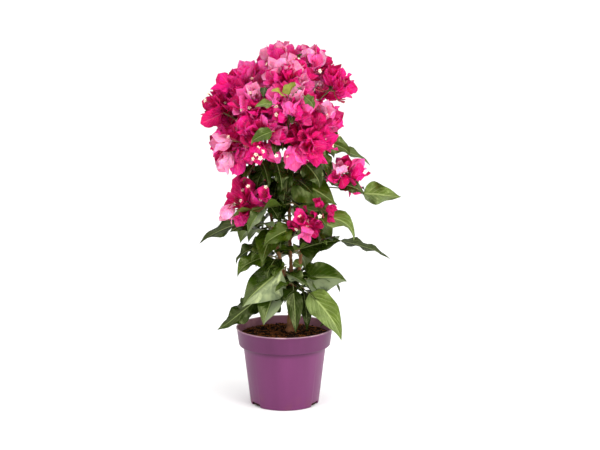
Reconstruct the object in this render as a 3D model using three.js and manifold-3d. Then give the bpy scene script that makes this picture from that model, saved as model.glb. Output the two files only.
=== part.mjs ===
// A bougainvillea bush in its nursery pot: a short woody trunk that forks into three canes,
// leafy shoots up to half height, and a round crown of three-bract blossom on top.
// Millimetres, +Z up. The origin is the centre of the pot's flat underside, and -Y is the front.
import * as THREE from 'three';
import { mergeVertices } from 'three/addons/utils/BufferGeometryUtils.js';
import Module from 'manifold-3d';

const wasm = await Module();
wasm.setup();

// Driving dimensions
const GAP = 0.3; // clearance between neighbouring solids

const POT = {
  height: 136,
  rimRadius: 85,
  collarHeight: 32,
  collarRadius: 80,
  neckRadius: 72.5,
  footRadius: 60,
  wall: 1.6,
  floor: 2,
  step: 2.5,
  facets: 42,
  slots: 3,
  firstSlot: 93,
  slotWidth: 26,
  slotDepth: 9,
  slotHeight: 7,
};

const SOIL = { level: 124, edge: 120.5, seatRadius: 24, lumpsTo: 0.95, bump: 1.5, facets: 24, seed: 5 };
const SOIL_RINGS = [0.82, 0.6, 0.38]; // rings on the soil's top, as shares of its edge

const TRUNK = {
  foot: [10, 8],
  bend: 165,
  fork: [14, 2, 204],
  footRadius: 5.4,
  forkRadius: 4.3,
  flare: 3.2,
  flareLength: 0.12,
  sides: 8,
  steps: 10,
};

// Each cane leaves the trunk's fork and follows one cubic curve through its two bends to its tip.
const CANES = {
  left: { from: [12, 2, 190], bends: [[-6, -8, 240], [-44, -6, 380]], tip: [-28, -4, 520] },
  right: { from: [15, 2, 195], bends: [[42, -4, 250], [20, 8, 400]], tip: [40, -2, 525] },
  back: { from: [14, 3, 199], bends: [[8, 14, 260], [8, 46, 400]], tip: [6, 24, 530] },
};
const CANE = { rootRadius: 3.1, tipRadius: 1.7, sides: 6, steps: 14 };

// A shoot's stem leaves its cane at one height and ends at an azimuth, reach and height.
// Its last leaf takes the heading, tilt, droop, roll and length, and the others alternate below it.
const SHOOTS = [
  { name: 'front_left_low', cane: 'left', from: 226, azimuth: -94, reach: 16, height: 243,
    heading: -150, tilt: -10, droop: 50, roll: -26, leaf: 104, others: 0 },
  { name: 'front_right_low', cane: 'right', from: 210, azimuth: -24, reach: 44, height: 208,
    heading: -32, tilt: -18, droop: 56, roll: 40, leaf: 115, others: 1 },
  { name: 'front_hanging', cane: 'left', from: 216, azimuth: -62, reach: 32, height: 216,
    heading: -78, tilt: -50, droop: 44, roll: 10, leaf: 87, others: 0 },
  { name: 'right_low', cane: 'right', from: 232, azimuth: -25, reach: 42, height: 240,
    heading: -25, tilt: 22, droop: 52, roll: 42, leaf: 88, others: 1 },
  { name: 'left_low', cane: 'left', from: 206, azimuth: -168, reach: 40, height: 199,
    heading: -165, tilt: -12, droop: 42, roll: -30, leaf: 103, others: 2 },
  { name: 'back_left_low', cane: 'back', from: 214, azimuth: 104, reach: 34, height: 208,
    heading: 112, tilt: -20, droop: 50, roll: 20, leaf: 74, others: 2 },
  { name: 'left_middle', cane: 'left', from: 252, azimuth: -167, reach: 30, height: 262,
    heading: -161, tilt: 0, droop: 56, roll: -30, leaf: 76, others: 2 },
  { name: 'left_curled', cane: 'left', from: 282, azimuth: 178, reach: 36, height: 294,
    heading: -175, tilt: -5, droop: 56, roll: -35, leaf: 66, others: 2 },
  { name: 'left_long', cane: 'left', from: 306, azimuth: 180, reach: 46, height: 318,
    heading: 180, tilt: 2, droop: 36, roll: -22, leaf: 104, others: 3 },
  { name: 'front_left_high', cane: 'left', from: 346, azimuth: -134, reach: 46, height: 350,
    heading: -152, tilt: -30, droop: 46, roll: -30, leaf: 62, others: 2 },
  { name: 'front_small', cane: 'left', from: 318, azimuth: -74, reach: 38, height: 327,
    heading: -80, tilt: -30, droop: 56, roll: 0, leaf: 60, others: 2 },
  { name: 'right_far', cane: 'right', from: 374, azimuth: 5, reach: 129, height: 374,
    heading: 0, tilt: 0, droop: 12, roll: 52, leaf: 73, others: 1 },
  { name: 'right_high', cane: 'right', from: 430, azimuth: 0, reach: 70, height: 440,
    heading: 0, tilt: 4, droop: 54, roll: 30, leaf: 85, others: 1 },
  { name: 'front_right_high', cane: 'right', from: 440, azimuth: -30, reach: 59, height: 455,
    heading: -48, tilt: -40, droop: 38, roll: 16, leaf: 60, others: 1 },
  { name: 'front_broad', cane: 'right', from: 392, azimuth: -68, reach: 34, height: 402,
    heading: -19, tilt: -6, droop: 40, roll: 50, leaf: 92, others: 1 },
  { name: 'right_curled', cane: 'right', from: 338, azimuth: -29, reach: 44, height: 350,
    heading: -13, tilt: -5, droop: 52, roll: 30, leaf: 108, others: 2 },
  { name: 'right_slender', cane: 'right', from: 276, azimuth: 0, reach: 86, height: 293,
    heading: 0, tilt: 4, droop: 46, roll: 14, leaf: 103, others: 3 },
  { name: 'front_right_middle', cane: 'right', from: 262, azimuth: -42, reach: 28, height: 273,
    heading: -14, tilt: 30, droop: 42, roll: 40, leaf: 84, others: 1 },
  { name: 'front_left_top', cane: 'left', from: 420, azimuth: -140, reach: 52, height: 436,
    heading: -60, tilt: -40, droop: 34, roll: -10, leaf: 66, others: 2 },
  { name: 'left_high', cane: 'left', from: 402, azimuth: 178, reach: 62, height: 415,
    heading: -163, tilt: -20, droop: 52, roll: -30, leaf: 58, others: 2 },
  { name: 'back_right_low', cane: 'back', from: 226, azimuth: 36, reach: 36, height: 226,
    heading: 28, tilt: 5, droop: 60, roll: 0, leaf: 96, others: 1 },
  { name: 'back_low', cane: 'back', from: 252, azimuth: 74, reach: 44, height: 258,
    heading: 68, tilt: 0, droop: 62, roll: 8, leaf: 92, others: 1 },
  { name: 'back_left_middle', cane: 'back', from: 292, azimuth: 150, reach: 44, height: 302,
    heading: 145, tilt: 5, droop: 50, roll: 24, leaf: 92, others: 2 },
  { name: 'back_right_middle', cane: 'back', from: 284, azimuth: 52, reach: 48, height: 306,
    heading: 48, tilt: 0, droop: 55, roll: -20, leaf: 95, others: 1 },
  { name: 'back_middle', cane: 'back', from: 328, azimuth: 84, reach: 58, height: 336,
    heading: 78, tilt: 5, droop: 58, roll: 0, leaf: 88, others: 2 },
  { name: 'back_left_high', cane: 'back', from: 366, azimuth: 150, reach: 60, height: 398,
    heading: 150, tilt: 10, droop: 40, roll: 14, leaf: 72, others: 2 },
  { name: 'back_right_high', cane: 'back', from: 392, azimuth: 12, reach: 64, height: 404,
    heading: 20, tilt: 0, droop: 50, roll: -18, leaf: 80, others: 2 },
  { name: 'back_high', cane: 'back', from: 412, azimuth: 96, reach: 66, height: 424,
    heading: 104, tilt: -5, droop: 52, roll: 6, leaf: 74, others: 2 },
];
const SHOOT = { rootRadius: 1.5, tipRadius: 1, sides: 3, steps: 3, lift: 0.18, seed: 11 };

// The leaves below a shoot's last one: where they begin, how far they turn aside, and their share of its size
const OTHER_LEAF = {
  first: 0.3,
  spread: 62,
  spreadVary: 16,
  tiltVary: 14,
  rollVary: 16,
  scale: 0.82,
  scaleVary: 0.14,
  shortest: 60,
};

// A leaf's width and thickness as shares of its length, and how steeply its halves fold up
const LEAF = {
  width: 0.55,
  thickness: 0.024,
  fold: 0.16,
  widest: 0.25,
  taper: 0.76,
  root: 1,
  facets: 4,
  rings: 3,
};

// A bloom mass is a ball of three-bract sprays, held by one stem that leaves its cane at one height.
const BLOOMS = [
  { name: 'side_left', cane: 'left', from: 368, azimuth: -163, reach: 76, height: 360, radius: 41 },
  { name: 'side_right', cane: 'right', from: 404, azimuth: -16, reach: 106, height: 414, radius: 33 },
  { name: 'low_front', cane: 'right', from: 316, azimuth: -48, reach: 60, height: 318, radius: 28 },
  { name: 'low_right', cane: 'right', from: 352, azimuth: 14, reach: 64, height: 350, radius: 24 },
  { name: 'crest_left', cane: 'left', from: 512, azimuth: 180, reach: 8, height: 590, radius: 45 },
  { name: 'crest_right', cane: 'right', from: 518, azimuth: 0, reach: 48, height: 588, radius: 44 },
  { name: 'right', cane: 'right', from: 500, azimuth: -4, reach: 84, height: 553, radius: 42 },
  { name: 'left_shoulder', cane: 'left', from: 490, azimuth: -170, reach: 60, height: 571, radius: 45 },
  { name: 'left', cane: 'left', from: 470, azimuth: 180, reach: 98, height: 518, radius: 48 },
  { name: 'left_skirt', cane: 'left', from: 440, azimuth: -168, reach: 90, height: 456, radius: 46 },
  { name: 'right_shoulder', cane: 'right', from: 470, azimuth: -20, reach: 74, height: 500, radius: 42 },
  { name: 'crest_front', cane: 'left', from: 500, azimuth: -82, reach: 56, height: 570, radius: 44 },
  { name: 'front', cane: 'right', from: 484, azimuth: -84, reach: 88, height: 526, radius: 44 },
  { name: 'front_left_skirt', cane: 'left', from: 452, azimuth: -117, reach: 82, height: 478, radius: 44 },
  { name: 'front_right_skirt', cane: 'right', from: 448, azimuth: -60, reach: 82, height: 470, radius: 44 },
  { name: 'front_left', cane: 'left', from: 476, azimuth: -128, reach: 78, height: 524, radius: 42 },
  { name: 'crest_back', cane: 'back', from: 526, azimuth: 95, reach: 60, height: 578, radius: 42 },
  { name: 'back_left', cane: 'back', from: 506, azimuth: 132, reach: 91, height: 546, radius: 44 },
  { name: 'back_right', cane: 'back', from: 496, azimuth: 48, reach: 90, height: 540, radius: 44 },
  { name: 'back_left_skirt', cane: 'back', from: 470, azimuth: 148, reach: 94, height: 480, radius: 42 },
  { name: 'back_right_skirt', cane: 'back', from: 462, azimuth: 34, reach: 92, height: 482, radius: 42 },
  { name: 'back_skirt', cane: 'back', from: 448, azimuth: 92, reach: 94, height: 486, radius: 42 },
  { name: 'side_back_left', cane: 'back', from: 344, azimuth: 126, reach: 86, height: 346, radius: 35 },
  { name: 'side_back_right', cane: 'back', from: 372, azimuth: 54, reach: 90, height: 386, radius: 35 },
];
const CROWN = { heart: [0, 0, 490], foot: 430, lowLift: 0.5 }; // its blooms face away from its heart
const BLOOM = {
  rootRadius: 1.6,
  tipRadius: 1.1,
  sides: 3,
  steps: 4,
  lift: 0.16,
  nearest: 8,
  fewest: 4,
  spraysPerArea: 0.0034,
  cap: 1.3,
  back: 0.3,
  turnVary: 14,
  fullSize: 40,
  seed: 29,
};
const SPRAY = { bract: 41, open: 38, heart: 7, stalkRadius: 1, bracts: 3, facets: 9, vary: 0.1 };
const LOBE = { shoulder: 0.78, tipCurl: 8 }; // a lobe's reach beside its tip, and the tip's outward turn

// A spray or leaf that would touch a neighbour is tried again smaller, and is left out if none is clear
const LEAF_TRIES = [1, 0.86, 0.72, 0.6];
const SPRAY_TRIES = [1, 0.86, 0.72];
const GUARD = 1.2; // it is tested this much thicker than it is

const GREEN_LEAF = { color: 0x47652c, roughness: 0.42, metalness: 0 };
const PINK_BRACT = { color: 0xd81b72, roughness: 0.6, metalness: 0 };
const BARK = { color: 0x6b4a33, roughness: 0.85, metalness: 0 };
const VIOLET_PLASTIC = { color: 0x8f4d80, roughness: 0.48, metalness: 0 };
const PEAT = { color: 0x2c1c11, roughness: 0.95, metalness: 0 };

const GOLDEN_TURN = 137.508;
const HALVINGS = 30;
const radians = THREE.MathUtils.degToRad;
const lerp = THREE.MathUtils.lerp;
const point = ([x, y, z]) => new THREE.Vector3(x, y, z);

// Park and Miller's generator, which gives the same row of numbers for a seed anywhere
const [MULTIPLIER, MODULUS, SEED_STEP] = [16807, 2147483647, 7919];

function seeded(seed) {
  let state = seed * SEED_STEP + 1;
  const next = () => {
    state = (state * MULTIPLIER) % MODULUS;
    return state / MODULUS;
  };
  next();
  next();
  return next;
}

const around = (random, range) => (random() * 2 - 1) * range;

const heading = (azimuth, rise) =>
  new THREE.Vector3(
    Math.cos(radians(rise)) * Math.cos(radians(azimuth)),
    Math.cos(radians(rise)) * Math.sin(radians(azimuth)),
    Math.sin(radians(rise)),
  );

const place = ({ azimuth, reach, height }) =>
  new THREE.Vector3(reach * Math.cos(radians(azimuth)), reach * Math.sin(radians(azimuth)), height);

// Solids and booleans
const MERGE = 1e-4;
const SLIVER = 0.1;

function merged(geometry) {
  const bare = geometry.clone();
  bare.deleteAttribute('normal');
  bare.deleteAttribute('uv');
  return mergeVertices(bare, MERGE);
}

function solid(geometry) {
  const closed = merged(geometry);
  const vertProperties = Float32Array.from(closed.attributes.position.array);
  const triVerts = Uint32Array.from(closed.index.array);
  return new wasm.Manifold(new wasm.Mesh({ numProp: 3, vertProperties, triVerts }));
}

function node(name, body, look) {
  const { vertProperties, triVerts } = body.getMesh();
  const geometry = new THREE.BufferGeometry();
  geometry.setAttribute('position', new THREE.BufferAttribute(vertProperties, 3));
  geometry.setIndex(new THREE.BufferAttribute(triVerts, 1));
  geometry.computeVertexNormals();
  const mesh = new THREE.Mesh(geometry, new THREE.MeshStandardMaterial(look));
  mesh.name = name;
  return mesh;
}

// The one main body, with any scrap that a cut has loosened dropped and the thinnest slivers evened out
function whole(body) {
  const main = body.decompose().reduce((best, part) => (part.volume() > best.volume() ? part : best));
  return main.simplify(SLIVER);
}

function boxesMeet(a, b) {
  const [p, q] = [a.boundingBox(), b.boundingBox()];
  return [0, 1, 2].every((k) => p.min[k] <= q.max[k] && q.min[k] <= p.max[k]);
}

const touches = (body, others) =>
  others.some((other) => boxesMeet(body, other) && !body.intersect(other).isEmpty());

// A round limb that tapers along a curve: a cylinder whose rings are set square to the curve
function limb(curve, radiusAt, sides, steps) {
  const geometry = new THREE.CylinderGeometry(1, 1, 1, sides, steps);
  const position = geometry.attributes.position;
  const upright = Math.abs(curve.getTangent(0).z) > 0.9;
  const across = upright ? new THREE.Vector3(0, 1, 0) : new THREE.Vector3(0, 0, 1);
  for (let i = 0; i < position.count; i += 1) {
    const along = position.getY(i) + 0.5;
    const tangent = curve.getTangent(along);
    const side = new THREE.Vector3().crossVectors(across, tangent).normalize();
    const up = new THREE.Vector3().crossVectors(tangent, side);
    const radius = radiusAt(along);
    const spot = curve
      .getPoint(along)
      .addScaledVector(side, position.getZ(i) * radius)
      .addScaledVector(up, position.getX(i) * radius);
    position.setXYZ(i, spot.x, spot.y, spot.z);
  }
  return solid(geometry);
}

// A leaf's half-width along its length, from its root through its widest place to its drawn-out point
const leafOutline = (t) => 1 - LEAF.taper * (t - LEAF.widest);

// A leaf: a ball drawn out from root to tip, folded along its rib, rolled, and drooping in one plane
function leafBody({ at, azimuth, tilt, droop, roll, length }, guard = 0) {
  const geometry = new THREE.SphereGeometry(1, LEAF.facets, LEAF.rings);
  const position = geometry.attributes.position;
  const forward = heading(azimuth, tilt);
  const above = heading(azimuth, tilt + 90);
  const side = new THREE.Vector3().crossVectors(forward, above);
  const root = at.clone().addScaledVector(forward, -LEAF.root - guard);
  const reach = length + LEAF.root + guard * 2;
  const turn = radians(droop);
  const [cos, sin] = [Math.cos(radians(roll)), Math.sin(radians(roll))];
  for (let i = 0; i < position.count; i += 1) {
    const pole = position.getY(i);
    const girth = Math.max(Math.sqrt(1 - pole * pole), Number.EPSILON);
    const atEnd = girth < 0.01;
    const t = (1 - pole) / 2;
    const half = atEnd ? 0 : ((length * LEAF.width + guard) / 2) * leafOutline(t);
    const thick = atEnd ? 0 : (length * LEAF.thickness + guard) / 2;
    const across = (-position.getX(i) / girth) * half;
    const lift = LEAF.fold * Math.abs(across) + (position.getZ(i) / girth) * thick;
    const outward = lift * cos - across * sin;
    const angle = turn * t;
    const spot = root
      .clone()
      .addScaledVector(forward, (reach * Math.sin(angle)) / turn + outward * Math.sin(angle))
      .addScaledVector(above, (-reach * (1 - Math.cos(angle))) / turn + outward * Math.cos(angle))
      .addScaledVector(side, across * cos + lift * sin);
    position.setXYZ(i, spot.x, spot.y, spot.z);
  }
  return solid(geometry);
}

// Two directions square to a spray's axis
function square(axis) {
  const u = new THREE.Vector3(0, 0, 1).cross(axis);
  if (u.length() < 0.05) u.set(1, 0, 0);
  u.normalize();
  return [u, new THREE.Vector3().crossVectors(axis, u)];
}

// A spray of three bracts on its stalk: a turned cup whose rim is drawn out into three pointed lobes
function sprayBody({ from, at, axis, spin, bract }, guard = 0) {
  const [u, v] = square(axis);
  const profile = [
    [0, 0],
    [SPRAY.stalkRadius + guard / 2, 0],
    [1, 0],
    [0, SPRAY.heart + guard],
  ];
  const rim = 2;
  const cup = new THREE.LatheGeometry(profile.map(([r, y]) => new THREE.Vector2(r, y)), SPRAY.facets);
  const position = cup.attributes.position;
  for (let i = 0; i < position.count; i += 1) {
    const ring = i % profile.length;
    const facet = Math.floor(i / profile.length);
    const atTip = facet % (SPRAY.facets / SPRAY.bracts) === 0;
    let [out, up] = profile[ring];
    if (ring === rim) {
      const reach = (bract + guard) * (atTip ? 1 : LOBE.shoulder);
      const open = radians(SPRAY.open + (atTip ? LOBE.tipCurl : 0));
      [out, up] = [reach * Math.sin(open), reach * Math.cos(open)];
    }
    const turn = radians((360 * facet) / SPRAY.facets + spin);
    const spot = (ring === 0 ? from : at)
      .clone()
      .addScaledVector(axis, up)
      .addScaledVector(u, out * Math.cos(turn))
      .addScaledVector(v, out * Math.sin(turn));
    position.setXYZ(i, spot.x, spot.y, spot.z);
  }
  return solid(cup);
}

// Pot and soil
function turned(profile, facets) {
  const geometry = new THREE.LatheGeometry(profile.map(([r, z]) => new THREE.Vector2(r, z)), facets);
  return geometry.rotateX(Math.PI / 2);
}

const COLLAR_FOOT = POT.height - POT.collarHeight;

function pot() {
  const { height, rimRadius, collarRadius, neckRadius, footRadius, wall, floor, step } = POT;
  const outside = [
    [0, 0],
    [footRadius, 0],
    [neckRadius, COLLAR_FOOT],
    [collarRadius, COLLAR_FOOT + step],
    [rimRadius, height],
  ];
  const inside = [
    [rimRadius - wall, height],
    [collarRadius - wall, COLLAR_FOOT + step + wall],
    [neckRadius - wall, COLLAR_FOOT + wall],
    [footRadius - wall, floor],
    [0, floor],
  ];
  let body = solid(turned([...outside, ...inside], POT.facets));
  for (let k = 0; k < POT.slots; k += 1) {
    const slot = new THREE.BoxGeometry(POT.slotDepth * 2, POT.slotWidth, POT.slotHeight * 2);
    slot.translate(footRadius, 0, 0);
    slot.rotateZ(radians(POT.firstSlot + (360 / POT.slots) * k));
    body = body.subtract(solid(slot));
  }
  return body;
}

// The soil fills the pot up to a low mound, lumpy but for the flat seat round the trunk
function soil() {
  const random = seeded(SOIL.seed);
  const { rimRadius, collarRadius, neckRadius, footRadius, wall, floor, step } = POT;
  const slip = wall + GAP * 2; // its fewer facets would else touch the pot's
  const upCollar = (SOIL.edge - COLLAR_FOOT - step) / (POT.collarHeight - step);
  const edge = lerp(collarRadius, rimRadius, upCollar) - slip;
  const [outer, ...inner] = SOIL_RINGS.map((share) => edge * share);
  const profile = [
    [0, floor + GAP],
    [footRadius - slip, floor + GAP],
    [neckRadius - slip, COLLAR_FOOT + wall + GAP],
    [collarRadius - slip, COLLAR_FOOT + step + wall + GAP],
    [edge, SOIL.edge],
    [outer, lerp(SOIL.edge, SOIL.level, 0.5)],
    ...inner.map((radius) => [radius, SOIL.level]),
    [SOIL.seatRadius, SOIL.level],
    [0, SOIL.level],
  ];
  const ground = merged(turned(profile, SOIL.facets));
  const position = ground.attributes.position;
  for (let i = 0; i < position.count; i += 1) {
    const out = Math.hypot(position.getX(i), position.getY(i));
    const onTop = position.getZ(i) > SOIL.edge - 1;
    if (onTop && out > SOIL.seatRadius + 1 && out < edge * SOIL.lumpsTo) {
      position.setZ(i, position.getZ(i) + around(random, SOIL.bump));
    }
  }
  return solid(ground);
}

// Trunk and canes, each also as a thicker copy that keeps the clearance round it
function trunk(extra = 0) {
  const [x, y] = TRUNK.foot;
  const foot = point([x, y, SOIL.level + GAP - extra]);
  const curve = new THREE.QuadraticBezierCurve3(foot, point([x, y, TRUNK.bend]), point(TRUNK.fork));
  const flareAt = (t) => TRUNK.flare * Math.exp(-t / TRUNK.flareLength);
  const radiusAt = (t) => lerp(TRUNK.footRadius, TRUNK.forkRadius, t) + flareAt(t) + extra;
  return limb(curve, radiusAt, TRUNK.sides, TRUNK.steps);
}

const caneCurve = ({ from, bends, tip }) =>
  new THREE.CubicBezierCurve3(point(from), point(bends[0]), point(bends[1]), point(tip));

const cane = (curve, extra = 0) =>
  limb(curve, (t) => lerp(CANE.rootRadius, CANE.tipRadius, t) + extra, CANE.sides, CANE.steps);

// The place on a cane at one height, by halving
function caneAt(curve, height) {
  let [low, high] = [0, 1];
  for (let i = 0; i < HALVINGS; i += 1) {
    const middle = (low + high) / 2;
    if (curve.getPoint(middle).z < height) low = middle;
    else high = middle;
  }
  return curve.getPoint(low);
}

// A stem from its cane to its end, in one low arch
function stemCurve(row, rule) {
  const start = caneAt(caneCurves[row.cane], row.from);
  const end = place(row);
  const crown = start.clone().lerp(end, 0.5);
  crown.z += rule.lift * start.distanceTo(end);
  return new THREE.QuadraticBezierCurve3(start, crown, end);
}

const stemBody = (curve, rule, extra = 0) =>
  limb(curve, (t) => lerp(rule.rootRadius, rule.tipRadius, t) + extra, rule.sides, rule.steps);

function shootLeaves(row, curve, random) {
  const last = {
    at: curve.getPoint(1),
    azimuth: row.heading,
    tilt: row.tilt,
    droop: row.droop,
    roll: row.roll,
    length: row.leaf,
  };
  const leaves = [last];
  for (let k = 0; k < row.others; k += 1) {
    const t = OTHER_LEAF.first + ((1 - OTHER_LEAF.first) * (k + 0.5)) / row.others;
    const ahead = curve.getTangent(t);
    const hand = (k + row.from) % 2 === 0 ? 1 : -1;
    const aside = hand * (OTHER_LEAF.spread + around(random, OTHER_LEAF.spreadVary));
    const tilt = row.tilt + around(random, OTHER_LEAF.tiltVary);
    const share = OTHER_LEAF.scale + around(random, OTHER_LEAF.scaleVary);
    leaves.push({
      at: curve.getPoint(t),
      azimuth: THREE.MathUtils.radToDeg(Math.atan2(ahead.y, ahead.x)) + aside,
      tilt,
      droop: row.droop,
      length: Math.max(row.leaf, OTHER_LEAF.shortest) * share,
      roll: around(random, OTHER_LEAF.rollVary),
    });
  }
  return leaves;
}

// A mass in the crown faces away from the crown's heart, and a lower one out and up
function facing(row) {
  const middle = place(row);
  if (row.height > CROWN.foot) return middle.sub(point(CROWN.heart)).normalize();
  const out = middle.setZ(0).normalize();
  return out.setZ(CROWN.lowLift).normalize();
}

// Sprays spread evenly over the cap of a ball, whose tips lie on it
function bloomSprays(row, curve, random) {
  const outward = facing(row);
  const [u, v] = square(outward);
  const count = Math.max(BLOOM.fewest, Math.round(row.radius ** 2 * BLOOM.spraysPerArea));
  const sprays = [];
  for (let k = 0; k < count; k += 1) {
    const height = 1 - (BLOOM.cap * (k + 0.5)) / count;
    const girth = Math.sqrt(1 - height * height);
    const turn = radians(GOLDEN_TURN * k + around(random, BLOOM.turnVary));
    const axis = outward
      .clone()
      .multiplyScalar(height)
      .addScaledVector(u, girth * Math.cos(turn))
      .addScaledVector(v, girth * Math.sin(turn));
    const size = Math.min(1, row.radius / BLOOM.fullSize);
    const bract = SPRAY.bract * size * (1 + around(random, SPRAY.vary));
    const rise = bract * Math.cos(radians(SPRAY.open));
    const reach = Math.sqrt(Math.max(0, row.radius ** 2 - bract ** 2 + rise ** 2)) - rise;
    sprays.push({
      from: curve.getPoint(1 - (BLOOM.back * k) / count),
      at: place(row).addScaledVector(axis, Math.max(BLOOM.nearest, reach)),
      axis,
      spin: (random() * 360) / SPRAY.bracts,
      bract,
    });
  }
  return sprays;
}

const caneCurves = Object.fromEntries(Object.entries(CANES).map(([name, row]) => [name, caneCurve(row)]));

const plant = new THREE.Group();
const [potBody, soilBody] = [pot(), soil()];
plant.add(node('pot', potBody, VIOLET_PLASTIC));
plant.add(node('soil', soilBody, PEAT));
plant.add(node('trunk', trunk(), BARK));

// Each cane's root is cut to the trunk and to the canes before it, one clearance away
const limbs = { trunk: trunk(GAP) };
for (const [name, curve] of Object.entries(caneCurves)) {
  const body = Object.values(limbs).reduce((rest, other) => rest.subtract(other), cane(curve));
  plant.add(node(`cane_${name}`, whole(body), BARK));
  limbs[name] = cane(curve, GAP);
}

// A mass is one stem with its pieces fused on, cut one clearance away from the cane that carries it.
// Its pieces keep clear of that cane, of all other limbs and of the masses before it.
const masses = [];

function grow(name, row, rule, pieces, look) {
  const { [row.cane]: carrier, ...otherLimbs } = limbs;
  const others = [...Object.values(otherLimbs), potBody, soilBody, ...masses];
  const curve = stemCurve(row, rule);
  if (touches(stemBody(curve, rule, GAP), others)) throw new Error(`${name}: its stem touches a neighbour`);
  let body = stemBody(curve, rule);
  for (const { tries, make } of pieces(curve)) {
    const size = tries.find((share) => !touches(make(share, GUARD), [...others, carrier]));
    if (size) body = body.add(make(size));
  }
  body = whole(body.subtract(carrier));
  masses.push(body);
  plant.add(node(name, body, look));
}

for (const [index, row] of BLOOMS.entries()) {
  const sprays = (curve) =>
    bloomSprays(row, curve, seeded(BLOOM.seed + index)).map((spray) => ({
      tries: SPRAY_TRIES,
      make: (share, guard) => sprayBody({ ...spray, bract: spray.bract * share }, guard),
    }));
  grow(`bloom_${row.name}`, row, BLOOM, sprays, PINK_BRACT);
}

for (const [index, row] of SHOOTS.entries()) {
  const leaves = (curve) =>
    shootLeaves(row, curve, seeded(SHOOT.seed + index)).map((leaf) => ({
      tries: LEAF_TRIES,
      make: (share, guard) => leafBody({ ...leaf, length: leaf.length * share }, guard),
    }));
  grow(`leaves_${row.name}`, row, SHOOT, leaves, GREEN_LEAF);
}

export default plant;
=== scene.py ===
"""A potted bougainvillea bush: its pot and soil, bark, twigs, leaves and three-bract blossom."""

import math

import bpy
import numpy as np
from bpy.props import FloatProperty, FloatVectorProperty, IntProperty, PointerProperty
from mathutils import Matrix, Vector


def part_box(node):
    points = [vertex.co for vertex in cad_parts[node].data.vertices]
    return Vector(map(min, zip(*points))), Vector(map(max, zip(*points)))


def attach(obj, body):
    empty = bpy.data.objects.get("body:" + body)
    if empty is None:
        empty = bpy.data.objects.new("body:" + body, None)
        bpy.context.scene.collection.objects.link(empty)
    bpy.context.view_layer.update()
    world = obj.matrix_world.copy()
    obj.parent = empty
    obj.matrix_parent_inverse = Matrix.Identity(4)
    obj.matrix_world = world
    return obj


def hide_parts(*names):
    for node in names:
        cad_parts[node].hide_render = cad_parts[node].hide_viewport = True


bl_info = {
    "name": "Potted bougainvillea bush",
    "version": (1, 0, 0),
    "blender": (4, 5, 0),
    "location": "View3D > Sidebar > Bush",
    "description": "Models a potted bougainvillea bush around its frame, and the studio that it stands in",
    "category": "Add Mesh",
}

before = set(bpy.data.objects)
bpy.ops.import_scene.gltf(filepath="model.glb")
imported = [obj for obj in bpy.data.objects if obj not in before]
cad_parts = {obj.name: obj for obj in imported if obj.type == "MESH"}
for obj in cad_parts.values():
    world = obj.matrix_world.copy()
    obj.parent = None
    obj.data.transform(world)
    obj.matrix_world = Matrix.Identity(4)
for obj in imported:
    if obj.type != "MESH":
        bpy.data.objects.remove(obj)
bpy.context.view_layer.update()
MM = 0.001  # the plant grows in millimetres, and its meshes are in metres

RIM_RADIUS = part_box("pot")[1].x
POT_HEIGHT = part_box("pot")[1].z
TRUNK_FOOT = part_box("trunk")[0].z

CAMERA_AT, CAMERA_PITCH = (0.027, -2.5, 0.755), 9.97
LIGHTS = {"right": ((1.8, -1.5, 1.8), 1.6), "left": ((-1.9, -1.5, 1.0), 1.3), "low": ((1.2, -1.8, 0.12), 0.9)}

# The trunk's curve, and each cane's curve from the fork through its two bends to its tip
TRUNK = ((10, 8, TRUNK_FOOT / MM), (10, 8, 165), (14, 2, 204))
TRUNK_RADII = (5.4, 4.3)
FLARE = (3.2, 0.12)  # the foot's extra radius, and how soon it fades along the trunk
CANES = {
    "left": ((12, 2, 190), (-6, -8, 240), (-44, -6, 380), (-28, -4, 520)),
    "right": ((15, 2, 195), (42, -4, 250), (20, 8, 400), (40, -2, 525)),
    "back": ((14, 3, 199), (8, 14, 260), (8, 46, 400), (6, 24, 530)),
}
CANE_RADII = (3.1, 1.7)
CANE_NODES, NODE_SWELL, NODE_LENGTH = 14, 0.7, 0.09
TRUNK_STEPS, CANE_STEPS = 60, 160
RIDGE_SIZE, CANE_RELIEF = 0.004, 0.6  # the size of the bark's ridges, and a cane's relief beside the trunk's
THORN = {"count": 13, "rise": 10, "lean": 0.4, "long": (7, 5), "root": 1.2, "bend": 0.6, "hook": 1.2,
         "places": (0, 0.35, 0.7, 1), "radii": (1.1, 0.8, 0.5, 0.12)}


def told(words, *rows):
    """Rows of values, each by the words that say what they are"""
    return [dict(zip(words.split(), row)) for row in rows]


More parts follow.
